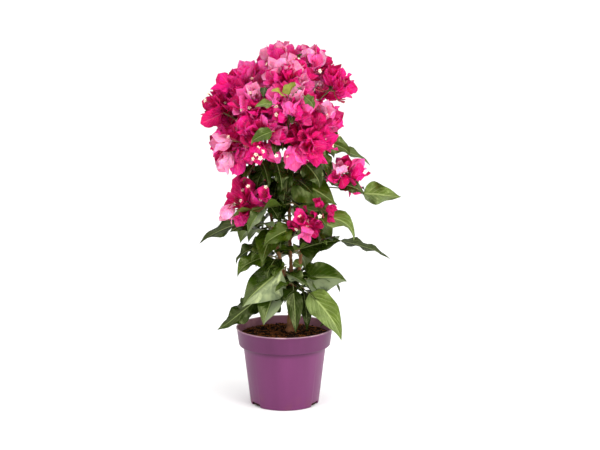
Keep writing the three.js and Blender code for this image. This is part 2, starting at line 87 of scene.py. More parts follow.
# A shoot's stem leaves its cane at a height and ends at an azimuth, reach and height. Its last leaf
# has the heading, tilt, droop, roll, length, shape and tint given, and the others alternate below it.
BACK_LEAF = (0.58, 25, 0, 0.35, 0.3)
SHOOTS = told(
    "name cane start azimuth reach height heading tilt droop roll leaf others wide curl twist fold wave tint",
    ("front_left_low", "left", 226, -80, 17, 246, -151, -30, 8, -50, 106, 0, 0.62, 15, 0, -0.7, 0.16,
     "silver"),
    ("front_right_low", "right", 210, -24, 38, 205, -33, -29, 32, 44, 113, 1, 0.43, 12, 0, 0.2, 0.24,
     "bright"),
    ("front_hanging", "left", 216, -62, 32, 216, -78, -62, 26, 10, 84, 0, 0.34, 0, 0, 0.3, 0.2, "deep"),
    ("right_low", "right", 232, -28, 31, 222, -14, 14, 20, 74, 84, 1, 0.68, 20, 0, -0.6, 0.16, "silver"),
    ("left_low", "left", 206, -168, 40, 192, -160, -34, 2, -46, 98, 2, 0.4, -10, 0, -0.2, 0.5, "deep"),
    ("back_left_low", "back", 214, 104, 34, 208, 112, -20, 50, 20, 74, 2, *BACK_LEAF, "deep"),
    ("left_middle", "left", 252, -167, 22, 262, -161, -4, 34, -36, 76, 2, 0.5, 50, 0, 0.5, 0.4, "fresh"),
    ("left_curled", "left", 282, 178, 24, 283, -175, -8, 34, -32, 74, 2, 0.42, 40, 0, 0.4, 0.5, "deep"),
    ("left_long", "left", 306, 180, 54, 325, 180, -13, 20, -30, 104, 0, 0.4, 10, 0, 0.3, 0.36, "deep"),
    ("front_left_high", "left", 346, -117, 66, 361, -152, -42, 20, -30, 60, 2, 0.46, 10, 0, 0.3, 0.2,
     "silver"),
    ("front_small", "left", 318, -74, 38, 327, -130, -20, 34, 0, 54, 2, 0.7, 0, 0, 0.2, 0.2, "deep"),
    ("right_far", "right", 374, 5, 129, 369, 0, 0, 12, 92, 74, 1, 0.52, -8, 0, -0.7, 0.6, "bright"),
    ("right_high", "right", 430, 0, 68, 449, 0, -4, 28, 24, 88, 1, 0.32, 20, 0, 0.4, 0.24, "fresh"),
    ("front_right_high", "right", 440, -30, 59, 456, -30, -44, 30, 26, 62, 1, 0.46, 20, 0, 0.4, 0.3, "fresh"),
    ("front_broad", "right", 392, -82, 32, 403, -24, -14, 18, 60, 100, 1, 0.62, 10, 0, -0.4, 0.2, "fresh"),
    ("right_curled", "right", 338, -73, 42, 361, -13, -21, -10, 42, 134, 2, 0.34, 90, 0, 0.4, 0.5, "bright"),
    ("right_slender", "right", 276, 0, 86, 290, 0, -11, 12, 20, 106, 1, 0.28, 20, 0, 0.3, 0.26, "deep"),
    ("front_right_middle", "right", 262, -42, 24, 273, -8, 22, 14, 52, 84, 1, 0.6, 10, 0, 0.3, 0.3, "deep"),
    ("front_left_top", "left", 420, -140, 52, 436, -60, -40, 34, -10, 56, 2, 0.5, 10, 0, 0.4, 0.2, "deep"),
    ("left_high", "left", 402, 178, 50, 417, -163, -26, 46, -30, 54, 2, 0.4, 20, 0, 0.4, 0.3, "deep"),
    ("back_right_low", "back", 226, 36, 36, 226, 28, 5, 60, 0, 96, 1, *BACK_LEAF, "fresh"),
    ("back_low", "back", 252, 74, 44, 258, 68, 0, 62, 8, 92, 1, *BACK_LEAF, "deep"),
    ("back_left_middle", "back", 292, 150, 44, 302, 122, 5, 50, 24, 92, 2, *BACK_LEAF, "fresh"),
    ("back_right_middle", "back", 284, 52, 48, 306, 48, 0, 55, -20, 95, 1, *BACK_LEAF, "deep"),
    ("back_middle", "back", 328, 84, 58, 336, 78, 5, 58, 0, 88, 2, *BACK_LEAF, "silver"),
    ("back_left_high", "back", 366, 150, 60, 398, 118, 10, 40, 14, 72, 2, *BACK_LEAF, "fresh"),
    ("back_right_high", "back", 392, 24, 56, 408, 60, 0, 50, -18, 80, 2, *BACK_LEAF, "deep"),
    ("back_high", "back", 412, 96, 66, 424, 104, -5, 52, 6, 74, 2, *BACK_LEAF, "fresh"),
)
SHOOT = {"radii": (1.5, 1.0), "lift": 0.18, "seed": 11}

# What a leaf's own row doesn't tell is drawn as it grows
UNTOLD = dict.fromkeys(("wide", "curl", "twist", "fold", "wave", "tint"))

# The leaves below a shoot's last one: where they begin, how far they turn aside, and their share of its size
OTHER = {"first": 0.3, "aside": (62, 16), "tilt": 14, "roll": 16, "share": (0.82, 0.14), "shortest": 60}

# The small leaves between a shoot's large ones: their number, places and angles, each with how far it varies
SMALL = {"number": 2, "first": 0.2, "gap": 0.55, "place": 0.08, "aside": (75, 30), "tilt": (10, 25),
         "droop": (40, 20), "size": 0.2, "roll": 30}

# A bloom mass is a ball of three-bract sprays, held by one stem that leaves its cane at one height
BLOOMS = told(
    "name cane start azimuth reach height radius",
    ("side_left", "left", 368, -163, 66, 354, 35),
    ("side_right", "right", 404, -16, 106, 408, 28),
    ("low_front", "right", 316, -50, 58, 328, 22),
    ("low_right", "right", 352, -42, 86, 349, 18),
    ("crest_left", "left", 512, 180, 6, 594, 34),
    ("crest_right", "right", 518, 0, 46, 588, 33),
    ("right", "right", 500, -4, 84, 553, 36),
    ("left_shoulder", "left", 490, -170, 56, 552, 40),
    ("left", "left", 470, 180, 92, 520, 46),
    ("left_skirt", "left", 440, -168, 82, 452, 41),
    ("right_shoulder", "right", 470, -20, 50, 498, 36),
    ("crest_front", "left", 500, -82, 56, 566, 43),
    ("front", "right", 484, -84, 88, 526, 43),
    ("front_left_skirt", "left", 452, -117, 82, 480, 42),
    ("front_right_skirt", "right", 448, -60, 82, 474, 41),
    ("front_left", "left", 476, -128, 78, 524, 42),
    ("crest_back", "back", 526, 102, 60, 574, 40),
    ("back_left", "back", 506, 132, 88, 543, 41),
    ("back_right", "back", 496, 48, 88, 540, 42),
    ("back_left_skirt", "back", 470, 148, 90, 480, 41),
    ("back_right_skirt", "back", 462, 44, 82, 482, 38),
    ("back_skirt", "back", 448, 92, 92, 486, 41),
    ("side_back_left", "back", 344, 126, 86, 346, 34),
    ("side_back_right", "back", 372, 54, 90, 386, 34),
)

# Single sprays that stand out of a mass or hang below it
LONE_SPRAYS = told(
    "cane start x y z azimuth rise bract tint",
    ("left", 470, -103, -30, 513, 185, -16, 42, "crimson"),
    ("left", 450, -86, -60, 469, 200, -6, 40, "blush"),
    ("left", 440, -90, -50, 449, 215, -62, 40, "blush"),
    ("right", 440, 12, -92, 464, -80, -58, 42, "pink"),
    ("right", 470, 58, -60, 507, -40, 40, 36, "blush"),
    ("right", 500, 40, -10, 588, -90, 74, 42, "blush"),
    ("left", 500, -6, -12, 588, 200, 76, 42, "rose"),
    ("left", 350, -27, -56, 372, -110, 34, 30, "magenta"),
    ("right", 316, 38, -60, 327, -96, -46, 31, "pink"),
    ("right", 316, 34, -58, 330, -112, 34, 31, "magenta"),
    ("right", 404, 94, -48, 409, -100, 66, 29, "blush"),
    ("right", 404, 116, -42, 399, -30, 50, 33, "magenta"),
    ("left", 340, -88, -46, 360, 215, -60, 34, "blush"),
    ("left", 500, -1, -50, 568, -80, 60, 40, "blush"),
    ("left", 480, -16, -106, 532, -90, 58, 30, "pink"),
    ("left", 480, -48, -82, 540, -95, 55, 32, "blush"),
    ("right", 480, 12, -108, 512, -90, 70, 36, "pink"),
    ("left", 500, -64, -20, 559, 190, 70, 36, "rose"),
    ("left", 490, -84, -20, 546, 190, 40, 40, "magenta"),
)

# Where painted light and shade make the blossom lighter or deeper: x, y, z, how far it reaches, and how much
# lighter
PAINTED_LIGHT_SPOTS = (
    (-108, -10, 518, 45, -0.5),
    (-10, -40, 590, 50, 0.2),
    (85, -60, 515, 35, 0.2),
    (95, -30, 560, 40, -0.15),
    (-100, -60, 460, 35, 0.15),
    (30, -90, 470, 40, -0.1),
)
# How light the painted light makes the blossom at one height, how much lighter it is painted 100 mm above,
# and how much chance adds
PAINTED_LIGHT = {"level": 0.38, "height": 500, "per_100": 0.18, "chance": 0.42}

# Open flowers that stand out: x, y, z, azimuth, rise
STARS = (
    (-45, -106, 452, -110, 0),
    (-38, -108, 446, -80, -10),
    (-50, -104, 444, -130, 10),
    (-42, -104, 462, -90, 30),
    (-34, -102, 456, -60, 20),
    (-92, -70, 476, -140, 20),
    (-12, -98, 449, -90, -20),
    (-133, -24, 533, -140, 20),
    (-128, -28, 545, -130, 30),
    (18, -52, 607, -90, 50),
    (24, -50, 604, -60, 50),
    (93, -66, 480, -60, 20),
    (80, -72, 462, -70, 10),
    (-30, -68, 392, -100, 20),
    (-60, -60, 392, -110, 40),
)

# Gaps in the crown, where no main spray starts: x, y, z and how wide
GAPS = (
    (20, -20, 600, 20),
    (-2, -78, 460, 22),
    (14, -116, 513, 12),
    (-30, -106, 556, 11),
    (-62, -90, 528, 12),
)

HEART = np.array((0, 0, 490.0))  # the crown's blooms face away from its heart
CROWN_FOOT, LOW_LIFT = 430, 0.5
BLOOM = {"radii": (1.6, 1.1), "lift": 0.16, "nearest": 8, "fewest": 4, "per_area": 0.0034, "cap": 1.3,
         "back": 0.3, "turn": 14, "full": 40, "seed": 29}
SPRAY = {"bract": 41, "open": 38, "bracts": 3, "vary": 0.1, "bract_turn": 10, "flower_turn": 12}
THIRD = 360 / SPRAY["bracts"]

# Single leaves between the shoots and blooms
LONE_LEAVES = told(
    "x y z azimuth tilt droop roll length wide tint",
    (8, -114, 547, -70, 64, 30, 20, 38, 0.66, "young"),
    (4, -114, 546, -140, 40, 30, -30, 34, 0.66, "young"),
    (14, -112, 548, -40, 46, 20, 30, 26, 0.6, "bright"),
    (-14, -124, 535, -175, 12, 30, -50, 34, 0.5, "bright"),
    (32, -124, 550, -20, -30, 30, 50, 30, 0.6, "fresh"),
    (-14, -122, 492, -175, -14, 20, -64, 46, 0.5, "fresh"),
    (42, -73, 478, -30, -30, 20, 20, 34, 0.5, "deep"),
    (55, 95, 560, 50, 20, 20, 20, 30, 0.5, "bright"),
    (-56, 97, 520, 140, 0, 20, -20, 34, 0.5, "fresh"),
    (18, 102, 500, 90, -10, 20, 0, 38, 0.5, "fresh"),
    (32, -4, 208, -60, -72, 10, 20, 80, 0.3, "deep"),
    (-8, 20, 178, -160, -40, 10, -50, 40, 0.8, "deep"),
    (13, 2, 250, -20, -10, 20, 60, 22, 0.8, "bright"),
    (-15, -36, 436, -60, -52, 24, -10, 60, 0.6, "deep"),
    (-47, -15, 321, -170, 0, 30, -44, 50, 0.55, "deep"),
    (58, -14, 464, -10, -10, 14, 70, 62, 0.62, "fresh"),
    (-8, -70, 478, -110, -40, 30, -30, 38, 0.6, "deep"),
    (6, -68, 478, -60, -50, 30, 20, 38, 0.6, "deep"),
    (-2, -60, 480, -90, -20, 30, 0, 40, 0.7, "deep"),
    (14, -106, 520, -90, -30, 20, 0, 26, 0.6, "deep"),
    (-30, -96, 562, -100, -30, 20, 0, 24, 0.6, "deep"),
    (20, -30, 602, -90, 30, 20, 0, 26, 0.6, "deep"),
    (21, -28, 600, -60, 50, 20, 10, 24, 0.6, "deep"),
    (8, -30, 430, -100, -56, 20, 20, 62, 0.6, "deep"),
    (30, -20, 424, -40, -40, 30, 10, 58, 0.6, "deep"),
    (14, 4, 412, -80, -60, 10, 0, 66, 0.6, "deep"),
    (-8, 8, 404, -120, -60, 10, 10, 66, 0.6, "deep"),
    (22, 10, 380, -60, -50, 10, 10, 60, 0.6, "deep"),
    (-4, 0, 372, -100, -50, 20, -10, 56, 0.6, "deep"),
    (-30, -16, 424, -150, -50, 30, -20, 52, 0.55, "deep"),
    (6, -14, 396, -110, -46, 30, 0, 50, 0.55, "deep"),
    (36, -14, 398, -20, -40, 30, 20, 50, 0.55, "deep"),
    (-38, -12, 392, -140, -40, 30, -20, 46, 0.55, "deep"),
    (0, 30, 410, 100, -30, 40, 0, 52, 0.55, "deep"),
    (34, -36, 430, -40, -34, 20, 60, 56, 0.7, "deep"),
    (20, 36, 388, 40, -30, 40, 20, 50, 0.55, "deep"),
    (84, -52, 396, -3, -4, 24, 46, 58, 0.5, "deep"),
    (20, -58, 322, -168, -16, 20, -42, 66, 0.58, "fresh"),
    (40, -30, 300, -20, 0, 20, 30, 40, 0.6, "fresh"),
)

GOLDEN_TURN = 137.508
HALVINGS = 30
MULTIPLIER, MODULUS, SEED_STEP = 16807, 2147483647, 7919


def srgb(code):
    """Linear colour of a six-digit hex code"""
    parts = [(code >> shift & 255) / 255 for shift in (16, 8, 0)]
    return tuple(((v + 0.055) / 1.055) ** 2.4 if v > 0.04045 else v / 12.92 for v in parts)


def length(name, text, value):
    """A length in metres"""
    return FloatProperty(name=name, description=text, default=value, min=0, unit="LENGTH", precision=4)


def share(name, text, value):
    """A share from 0 to 1"""
    return FloatProperty(name=name, description=text, default=value, min=0, max=1, subtype="FACTOR")


def angle(name, text, degrees):
    """An angle, given in degrees"""
    return FloatProperty(name=name, description=text, default=math.radians(degrees), subtype="ANGLE")


def count(name, text, value):
    """A whole number"""
    return IntProperty(name=name, description=text, default=value, min=0)


def power(name, text, value):
    """A number of 0 or more"""
    return FloatProperty(name=name, description=text, default=value, min=0)


def colour(name, text, code):
    """A colour, given as a hex code"""
    kept = {"name": name, "description": text, "default": srgb(code)}
    return FloatVectorProperty(**kept, size=3, min=0, max=1, subtype="COLOR")


class BushPot(bpy.types.PropertyGroup):
    """The nursery pot and its soil"""

    height: length("Height", "From the foot to the top of the rim", POT_HEIGHT)
    rim: length("Rim radius", "Outer radius at the rim", RIM_RADIUS)
    collar_height: length("Collar height", "From the step to the rim", 0.032)
    collar: length("Collar radius", "Outer radius at the collar's foot", 0.080)
    neck: length("Neck radius", "Outer radius just under the collar", 0.0725)
    foot: length("Foot radius", "Outer radius at the bottom", 0.060)
    wall: length("Wall", "Thickness of the wall", 0.0016)
    floor: length("Floor", "Thickness of the bottom", 0.002)
    bead: length("Rim bead", "Radius of the rolled rim", 0.0014)
    facets: count("Facets", "Faces round the pot", 168)
    slots: count("Drain notches", "Notches round the foot", 3)
    soil_level: length("Soil level", "Height of the soil's middle", TRUNK_FOOT)
    soil_edge: length("Soil edge", "Height of the soil at the wall", 0.1205)
    crumbs: count("Crumbs", "Loose crumbs on the soil", 1500)
    fibres: count("Fibres", "Loose fibres on the soil", 420)
    plastic: colour("Plastic", "The pot's plastic", 0x672C58)
    peat: colour("Peat", "The soil's peat", 0x1C0F07)
    fibre: colour("Fibre", "The soil's fibres", 0x7A4620)


class BushLeaves(bpy.types.PropertyGroup):
    """The shape and tints of bark, twigs and leaves"""

    width: share("Width", "A leaf's width as a share of its length", 0.58)
    petiole: share("Stalk", "A leaf's stalk as a share of its length", 0.1)
    fold: share("Fold", "How steeply a leaf's halves fold up along its rib", 0.32)
    wave: share("Wave", "How far its edges wave, as a share of its half width", 0.26)
    tip_curl: angle("Tip curl", "How far its drawn-out tip curls over", 34)
    small_share: share("Small leaves", "Size of the small leaves that follow on the twigs", 0.52)
    relief: length("Bark relief", "Height of the ridges on the bark", 0.0009)
    deep: colour("Deep green", "Old leaves in the bush's shade", 0x1B2904)
    fresh: colour("Fresh green", "Full-grown leaves", 0x2F4106)
    bright: colour("Bright green", "Young leaves", 0x4E6020)
    young: colour("Yellow green", "The youngest leaves, among the blossom", 0x8A8A2E)
    # These leaves carry the strongest painted sheen on their lower half
    silver: colour("Silver green", "Leaves that show a silky sheen", 0x283A08)
    bark: colour("Bark", "Trunk and canes", 0x744522)
    twig: colour("Twig", "Young stems and leaf stalks", 0x5F6B34)


class BushBlossom(bpy.types.PropertyGroup):
    """The shape and tints of bracts and flowers"""

    width: share("Width", "A bract's width as a share of its length", 0.72)
    open_root: angle("Opening at the root", "A bract's angle to the spray's axis at its root", 25)
    open_tip: angle("Opening at the tip", "A bract's angle to the spray's axis at its tip", 16)
    cup: share("Cup", "How far a bract is hollowed across", 0.45)
    wave: share("Wave", "How far its edges wave, as a share of its half width", 0.3)
    side_sprays: count("Side sprays", "Smaller sprays beside each main one", 2)
    tube: share("Flower", "A flower's length as a share of its bract", 0.5)
    in_flower: share("In flower", "Share of the flowers that are open", 0.2)
    crimson: colour("Crimson", "Bracts in the shade", 0xCE0860)
    magenta: colour("Magenta", "Full-coloured bracts", 0xE80C7C)
    rose: colour("Rose", "Bracts in full light", 0xF4208E)
    pink: colour("Pink", "Lighter bracts", 0xFC56A8)
    blush: colour("Blush", "The palest bracts", 0xFFA4C6)
    tubes: colour("Flower tube", "The flowers' tubes and the closed flowers", 0xC24A62)
    cream: colour("Cream", "The open flowers' stars", 0xFFF6E2)


class BushStudio(bpy.types.PropertyGroup):
    """Floor, light and camera"""

    floor: length("Floor", "Radius of the floor", 60)
    pale: colour("Floor colour", "The plain pale floor", 0xFAFAF9)
    world: power("World", "Strength of the even light from all round", 0.35)
    overhead: power("Overhead light", "Strength of the wide light overhead, which keeps the floor pale", 2.7)
    right: power("Right light", "Power of the large light at the right, in watts", 32)
    left: power("Left light", "Power of the large light at the left, in watts", 18)
    low: power("Low light", "Power of the wide light low in front, in watts", 30)
    lens: power("Lens", "The camera's focal length in millimetres", 88.14)


GROUPS = {
    "bush_pot": BushPot,
    "bush_leaves": BushLeaves,
    "bush_blossom": BushBlossom,
    "bush_studio": BushStudio,
}


# The growth rule, in millimetres
def seeded(seed):
    """A plain generator of numbers from 0 to 1, which gives the same row of them for a seed anywhere"""
    state = seed * SEED_STEP + 1

    def draw():
        nonlocal state
        state = state * MULTIPLIER % MODULUS
        return state / MODULUS

    draw()
    draw()
    return draw


def around(draw, reach):
    """A number drawn up to a reach above or below 0"""
    return (draw() * 2 - 1) * reach


def unit(v):
    """The vector's direction"""
    return v / np.linalg.norm(v)


def heading(azimuth, rise):
    """The direction of an azimuth and a rise in degrees"""
    a, r = math.radians(azimuth), math.radians(rise)
    return np.array((math.cos(r) * math.cos(a), math.cos(r) * math.sin(a), math.sin(r)))


def heading_of(way):
    """The azimuth of a direction in degrees"""
    return math.degrees(math.atan2(way[1], way[0]))


def place(row):
    """Where a row's stem ends"""
    return heading(row["azimuth"], 0) * row["reach"] + np.array((0, 0, row["height"]))


def spot_of(row):
    """The place that a row tells as x, y and z"""
    return np.array((row["x"], row["y"], row["z"]), float)


def bezier(points, t):
    """The place at t on the curve through these control points"""
    points = np.asarray(points, float)
    while len(points) > 1:
        points = points[:-1] * (1 - t) + points[1:] * t
    return points[0]


def ahead(points, t):
    """The direction at t on the curve"""
    return unit(bezier(np.diff(np.asarray(points, float), axis=0), t))


def cane_at(row):
    """The place where a row's stem leaves its cane, by halving"""
    points = CANES[row["cane"]]
    low, high = 0, 1
    for _ in range(HALVINGS):
        middle = (low + high) / 2
        if bezier(points, middle)[2] < row["start"]:
            low = middle
        else:
            high = middle
    return bezier(points, low)


def stem_curve(row, lift):
    """A stem from its cane to its end, in one low arch"""
    start, end = cane_at(row), place(row)
    crown = (start + end) / 2 + np.array((0, 0, lift * np.linalg.norm(end - start)))
    return np.array((start, crown, end))


def shoot_leaves(row, curve, draw):
    """The leaves of one shoot, its last one first"""
    leaves = [{**row, "at": bezier(curve, 1), "azimuth": row["heading"], "length": row["leaf"]}]
    for k in range(row["others"]):
        t = OTHER["first"] + (1 - OTHER["first"]) * (k + 0.5) / row["others"]
        hand = 1 if (k + row["start"]) % 2 == 0 else -1
        aside = hand * (OTHER["aside"][0] + around(draw, OTHER["aside"][1]))
        tilt = row["tilt"] + around(draw, OTHER["tilt"])
        size = OTHER["share"][0] + around(draw, OTHER["share"][1])
        leaves.append({
            **UNTOLD,
            "at": bezier(curve, t),
            "azimuth": heading_of(ahead(curve, t)) + aside,
            "tilt": tilt,
            "droop": row["droop"],
            "length": max(row["leaf"], OTHER["shortest"]) * size,
            "roll": around(draw, OTHER["roll"]),
        })
    return leaves


def facing(row):
    """A mass in the crown faces away from the crown's heart, and a lower one out and up"""
    if row["height"] > CROWN_FOOT:
        return unit(place(row) - HEART)
    return unit(heading(row["azimuth"], 0) + np.array((0, 0, LOW_LIFT)))


def square(axis):
    """Two directions square to an axis"""
    u = np.cross((0, 0, 1), axis)
    u = unit(u) if np.linalg.norm(u) > 0.05 else np.array((1.0, 0, 0))
    return u, np.cross(axis, u)


def around_axis(axis, turn):
    """The direction square to an axis at one turn round it"""
    u, v = square(axis)
    return u * math.cos(turn) + v * math.sin(turn)


def bloom_sprays(row, curve, draw):
    """Sprays spread evenly over the cap of a ball, whose tips lie on it"""
    outward = facing(row)
    total = max(BLOOM["fewest"], round(row["radius"] ** 2 * BLOOM["per_area"]))
    sprays = []
    for k in range(total):
        height = 1 - BLOOM["cap"] * (k + 0.5) / total
        girth = math.sqrt(1 - height * height)
        turn = math.radians(GOLDEN_TURN * k + around(draw, BLOOM["turn"]))
        axis = outward * height + around_axis(outward, turn) * girth
        size = min(1, row["radius"] / BLOOM["full"])
        bract = SPRAY["bract"] * size * (1 + around(draw, SPRAY["vary"]))
        rise = bract * math.cos(math.radians(SPRAY["open"]))
        reach = math.sqrt(max(0, row["radius"] ** 2 - bract**2 + rise**2)) - rise
        sprays.append({
            "from": bezier(curve, 1 - BLOOM["back"] * k / total),
            "at": place(row) + axis * max(BLOOM["nearest"], reach),
            "axis": axis,
            "spin": draw() * THIRD,
            "bract": bract,
        })
    return sprays


# The same rule carried finer
SEEDS = {"soil": 5, "leaf": 71, "spray": 137, "small": 211, "tint": 307, "lone": 401, "star": 503,
         "thorn": 601}
RISE = {"from": 440, "over": 60}  # sprays turn upward more and more, from one height and over a stretch
LOW_SIZE = 1.12  # the low masses have fewer and larger sprays
SIDE_SPRAY = {"turn": 25, "lean": (0.75, 0.3), "sink": 7, "aside": 15, "root": 0.35, "share": (0.86, 0.1)}


def all_shoots():
    """Each shoot with the curve of its stem and its leaves"""
    for index, row in enumerate(SHOOTS):
        curve = stem_curve(row, SHOOT["lift"])
        yield row, curve, shoot_leaves(row, curve, seeded(SHOOT["seed"] + index))


def all_blooms():
    """Each mass with the curve of its stem and its sprays"""
    for index, row in enumerate(BLOOMS):
        curve = stem_curve(row, BLOOM["lift"])
        yield index, row, curve, bloom_sprays(row, curve, seeded(BLOOM["seed"] + index))


def side_sprays(spray, number, draw):
    """Smaller sprays that leave the same stalk and lean aside between the main ones"""
    first = draw() * 360
    for k in range(number):
        turn = math.radians(first + 360 * k / number + around(draw, SIDE_SPRAY["turn"]))
        aside = around_axis(spray["axis"], turn)
        lean, vary = SIDE_SPRAY["lean"]
        axis = unit(spray["axis"] + aside * lean * (1 + around(draw, vary)))
        at = spray["at"] + aside * SIDE_SPRAY["aside"] - spray["axis"] * SIDE_SPRAY["sink"]
        root = spray["from"] * SIDE_SPRAY["root"] + spray["at"] * (1 - SIDE_SPRAY["root"])
        size, vary = SIDE_SPRAY["share"]
        bract = spray["bract"] * (size + around(draw, vary))
        yield {"from": root, "at": at, "axis": axis, "spin": draw() * THIRD, "bract": bract}


def in_gap(at):
    """Whether a place lies in a gap of the crown"""
    return any(math.dist(at, gap[:3]) < gap[3] for gap in GAPS)


def all_sprays(number):
    """Every spray of the bush, main ones, side ones and single ones, with its draw of numbers"""
    for index, row, _, sprays in all_blooms():
        draw = seeded(SEEDS["spray"] + index)
        low = row["height"] < CROWN_FOOT
        for spray in sprays:
            if in_gap(spray["at"]):
                continue
            spray["bract"] *= LOW_SIZE if low else 1
            rising = min(1, max(0, (spray["at"][2] - RISE["from"]) / RISE["over"]))
            spray["axis"] = unit(spray["axis"] + np.array((0, 0, rising)))
            for one in [spray, *side_sprays(spray, max(1, number - 1) if low else number, draw)]:
                yield {**one, "tint": None}, draw
    draw = seeded(SEEDS["lone"])
    for row in LONE_SPRAYS:
        axis = heading(row["azimuth"], row["rise"])
        yield {**row, "from": cane_at(row), "at": spot_of(row), "axis": axis, "spin": draw() * THIRD}, draw


def small_leaves(row, curve, size, draw):
    """Small leaves that follow on a shoot's stem, between its large ones"""
    leaves = []
    for k in range(SMALL["number"]):
        t = SMALL["first"] + SMALL["gap"] * k + around(draw, SMALL["place"])
        aside, vary = SMALL["aside"]
        leaves.append({
            **UNTOLD,
            "at": bezier(curve, t),
            "azimuth": heading_of(ahead(curve, t)) + (-1) ** k * aside + around(draw, vary),
            "tilt": SMALL["tilt"][0] + around(draw, SMALL["tilt"][1]),
            "droop": SMALL["droop"][0] + around(draw, SMALL["droop"][1]),
            "length": max(row["leaf"], OTHER["shortest"]) * size * (1 + around(draw, SMALL["size"])),
            "roll": around(draw, SMALL["roll"]),
        })
    return leaves


def all_leaves(small):
    """Every leaf of the bush with its draw of numbers"""
    for index, (row, curve, leaves) in enumerate(all_shoots()):
        draw = seeded(SEEDS["leaf"] + index)
        for leaf in leaves + small_leaves(row, curve, small, seeded(SEEDS["small"] + index)):
            yield leaf, draw
    draw = seeded(SEEDS["tint"])
    for row in LONE_LEAVES:
        yield {**UNTOLD, **row, "at": spot_of(row)}, draw


# Joined meshes of many small things
def blade_map(across, along):
    """Places on a sheet's own map: how far across, from 0 to 1, and how far along"""
    return np.stack(np.broadcast_arrays(across[None, :], along[:, None]), axis=-1)


class Batch:
    """Points and faces gathered in millimetres for one joined mesh"""

    def __init__(self):
        self.points, self.faces, self.places, self.total = [], [], [], 0

    def patch(self, grid, places, closed=False):
        """A sheet of quads over rows of points; a closed one joins its last column to its first"""
        rows, columns = grid.shape[:2]
        index = np.arange(rows * columns).reshape(rows, columns) + self.total
        if closed:
            index = np.hstack((index, index[:, :1]))
        quads = np.stack((index[:-1, :-1], index[:-1, 1:], index[1:, 1:], index[1:, :-1]), axis=-1)
        self.points.append(grid.reshape(-1, 3))
        self.places.append(places.reshape(-1, 2))
        self.faces.extend(quads.reshape(-1, 4).tolist())
        self.total += rows * columns
        return index

    def tube(self, spots, radii, sides):
        """A closed tube along a row of spots"""
        spots = np.asarray(spots, float)
        ways = np.gradient(spots, axis=0)
        ways /= np.linalg.norm(ways, axis=1)[:, None]
        across = np.array((0, 1.0, 0)) if abs(ways[0][2]) > 0.9 else np.array((0, 0, 1.0))
        side = np.cross(across, ways)
        side /= np.linalg.norm(side, axis=1)[:, None]
        up = np.cross(ways, side)
        turns = np.arange(sides) * math.tau / sides
        ring = side[:, None] * np.cos(turns)[None, :, None] + up[:, None] * np.sin(turns)[None, :, None]
        grid = spots[:, None] + ring * np.asarray(radii, float)[:, None, None]
        index = self.patch(grid, blade_map(turns / math.tau, np.linspace(0, 1, len(spots))), closed=True)
        self.faces.append(index[0, :-1][::-1].tolist())
        self.faces.append(index[-1, :-1].tolist())

    def piece(self, name, material, slot, nodes=(), smooth=True):
        """The joined mesh as a piece that rides on the bush and stands for the nodes named"""
        places = np.concatenate(self.places)
        mesh = bpy.data.meshes.new(name)
        mesh.from_pydata((np.concatenate(self.points) * MM).tolist(), [], self.faces)
        layer = mesh.uv_layers.new(name="blade")
        corners = np.zeros(len(mesh.loops), int)
        mesh.loops.foreach_get("vertex_index", corners)
        layer.data.foreach_set("uv", places[corners].astype(np.float32).ravel())
        mesh.polygons.foreach_set("use_smooth", [smooth] * len(mesh.polygons))
        mesh.materials.append(material)
        mesh.update()
        obj = bpy.data.objects.new(name, mesh)
        bpy.context.scene.collection.objects.link(obj)
        return finish_piece(obj, nodes)


def finish_piece(obj, nodes=()):
    """The piece rides on the bush and stands for its nodes"""
    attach(obj, "root")
    if nodes:
        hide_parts(*nodes)
    return obj


# Modelling by hand
def deselect():
    """Nothing is selected, in object mode"""
    if bpy.context.object and bpy.context.object.mode != "OBJECT":
        bpy.ops.object.mode_set(mode="OBJECT")
    bpy.ops.object.select_all(action="DESELECT")


def choose(obj):
    """Only this object is selected, and it is the active one"""
    deselect()
    obj.select_set(True)
    bpy.context.view_layer.objects.active = obj


def turned(name, profile, facets):
    """A closed turned body: a cylinder whose top face is extruded and scaled from ring to ring"""
    (radius, low), (_, high) = profile[:2]
    middle = (low + high) / 2
    size = {"radius": radius, "depth": high - low}
    deselect()
    bpy.ops.mesh.primitive_cylinder_add(vertices=facets, location=(0, 0, middle), **size)
    obj = bpy.context.object
    obj.name = name
    bpy.ops.object.transform_apply(location=True, rotation=False, scale=False)
    for face in obj.data.polygons:
        face.select = face.normal.z > 0.9
    for edge in obj.data.edges:
        edge.select = all(obj.data.vertices[k].co.z > middle for k in edge.vertices)
    for vertex in obj.data.vertices:
        vertex.select = vertex.co.z > middle
    bpy.ops.object.mode_set(mode="EDIT")
    bpy.ops.mesh.select_mode(type="FACE")
    last = (radius, high)
    for k, (ring, height) in enumerate(profile[1:]):
        if k:
            bpy.ops.mesh.extrude_region_move(TRANSFORM_OT_translate={"value": (0, 0, height - last[1])})
        scale = ring / last[0]
        bpy.ops.transform.resize(value=(scale, scale, 1), center_override=(0, 0, height))
        last = (ring, height)
    bpy.ops.object.mode_set(mode="OBJECT")
    return obj


def arc(centre, radius, start, stop, steps):
    """Places of an arc in a turned profile, from one angle to another in degrees"""
    (x, z), turns = centre, np.radians(np.linspace(start, stop, steps + 1))
    return [(x + radius * math.cos(a), z + radius * math.sin(a)) for a in turns]


def apply_modifier(obj, kind, **settings):
    """A modifier with its settings, applied at once"""
    modifier = obj.modifiers.new(kind.title(), kind)
    for key, value in settings.items():
        setattr(modifier, key, value)
    choose(obj)
    bpy.ops.object.modifier_apply(modifier=modifier.name)


def smooth_by_angle(obj, degrees):
    """Smooth shading, with edges sharper than the angle kept sharp"""
    choose(obj)
    bpy.ops.object.shade_smooth_by_angle(angle=math.radians(degrees))


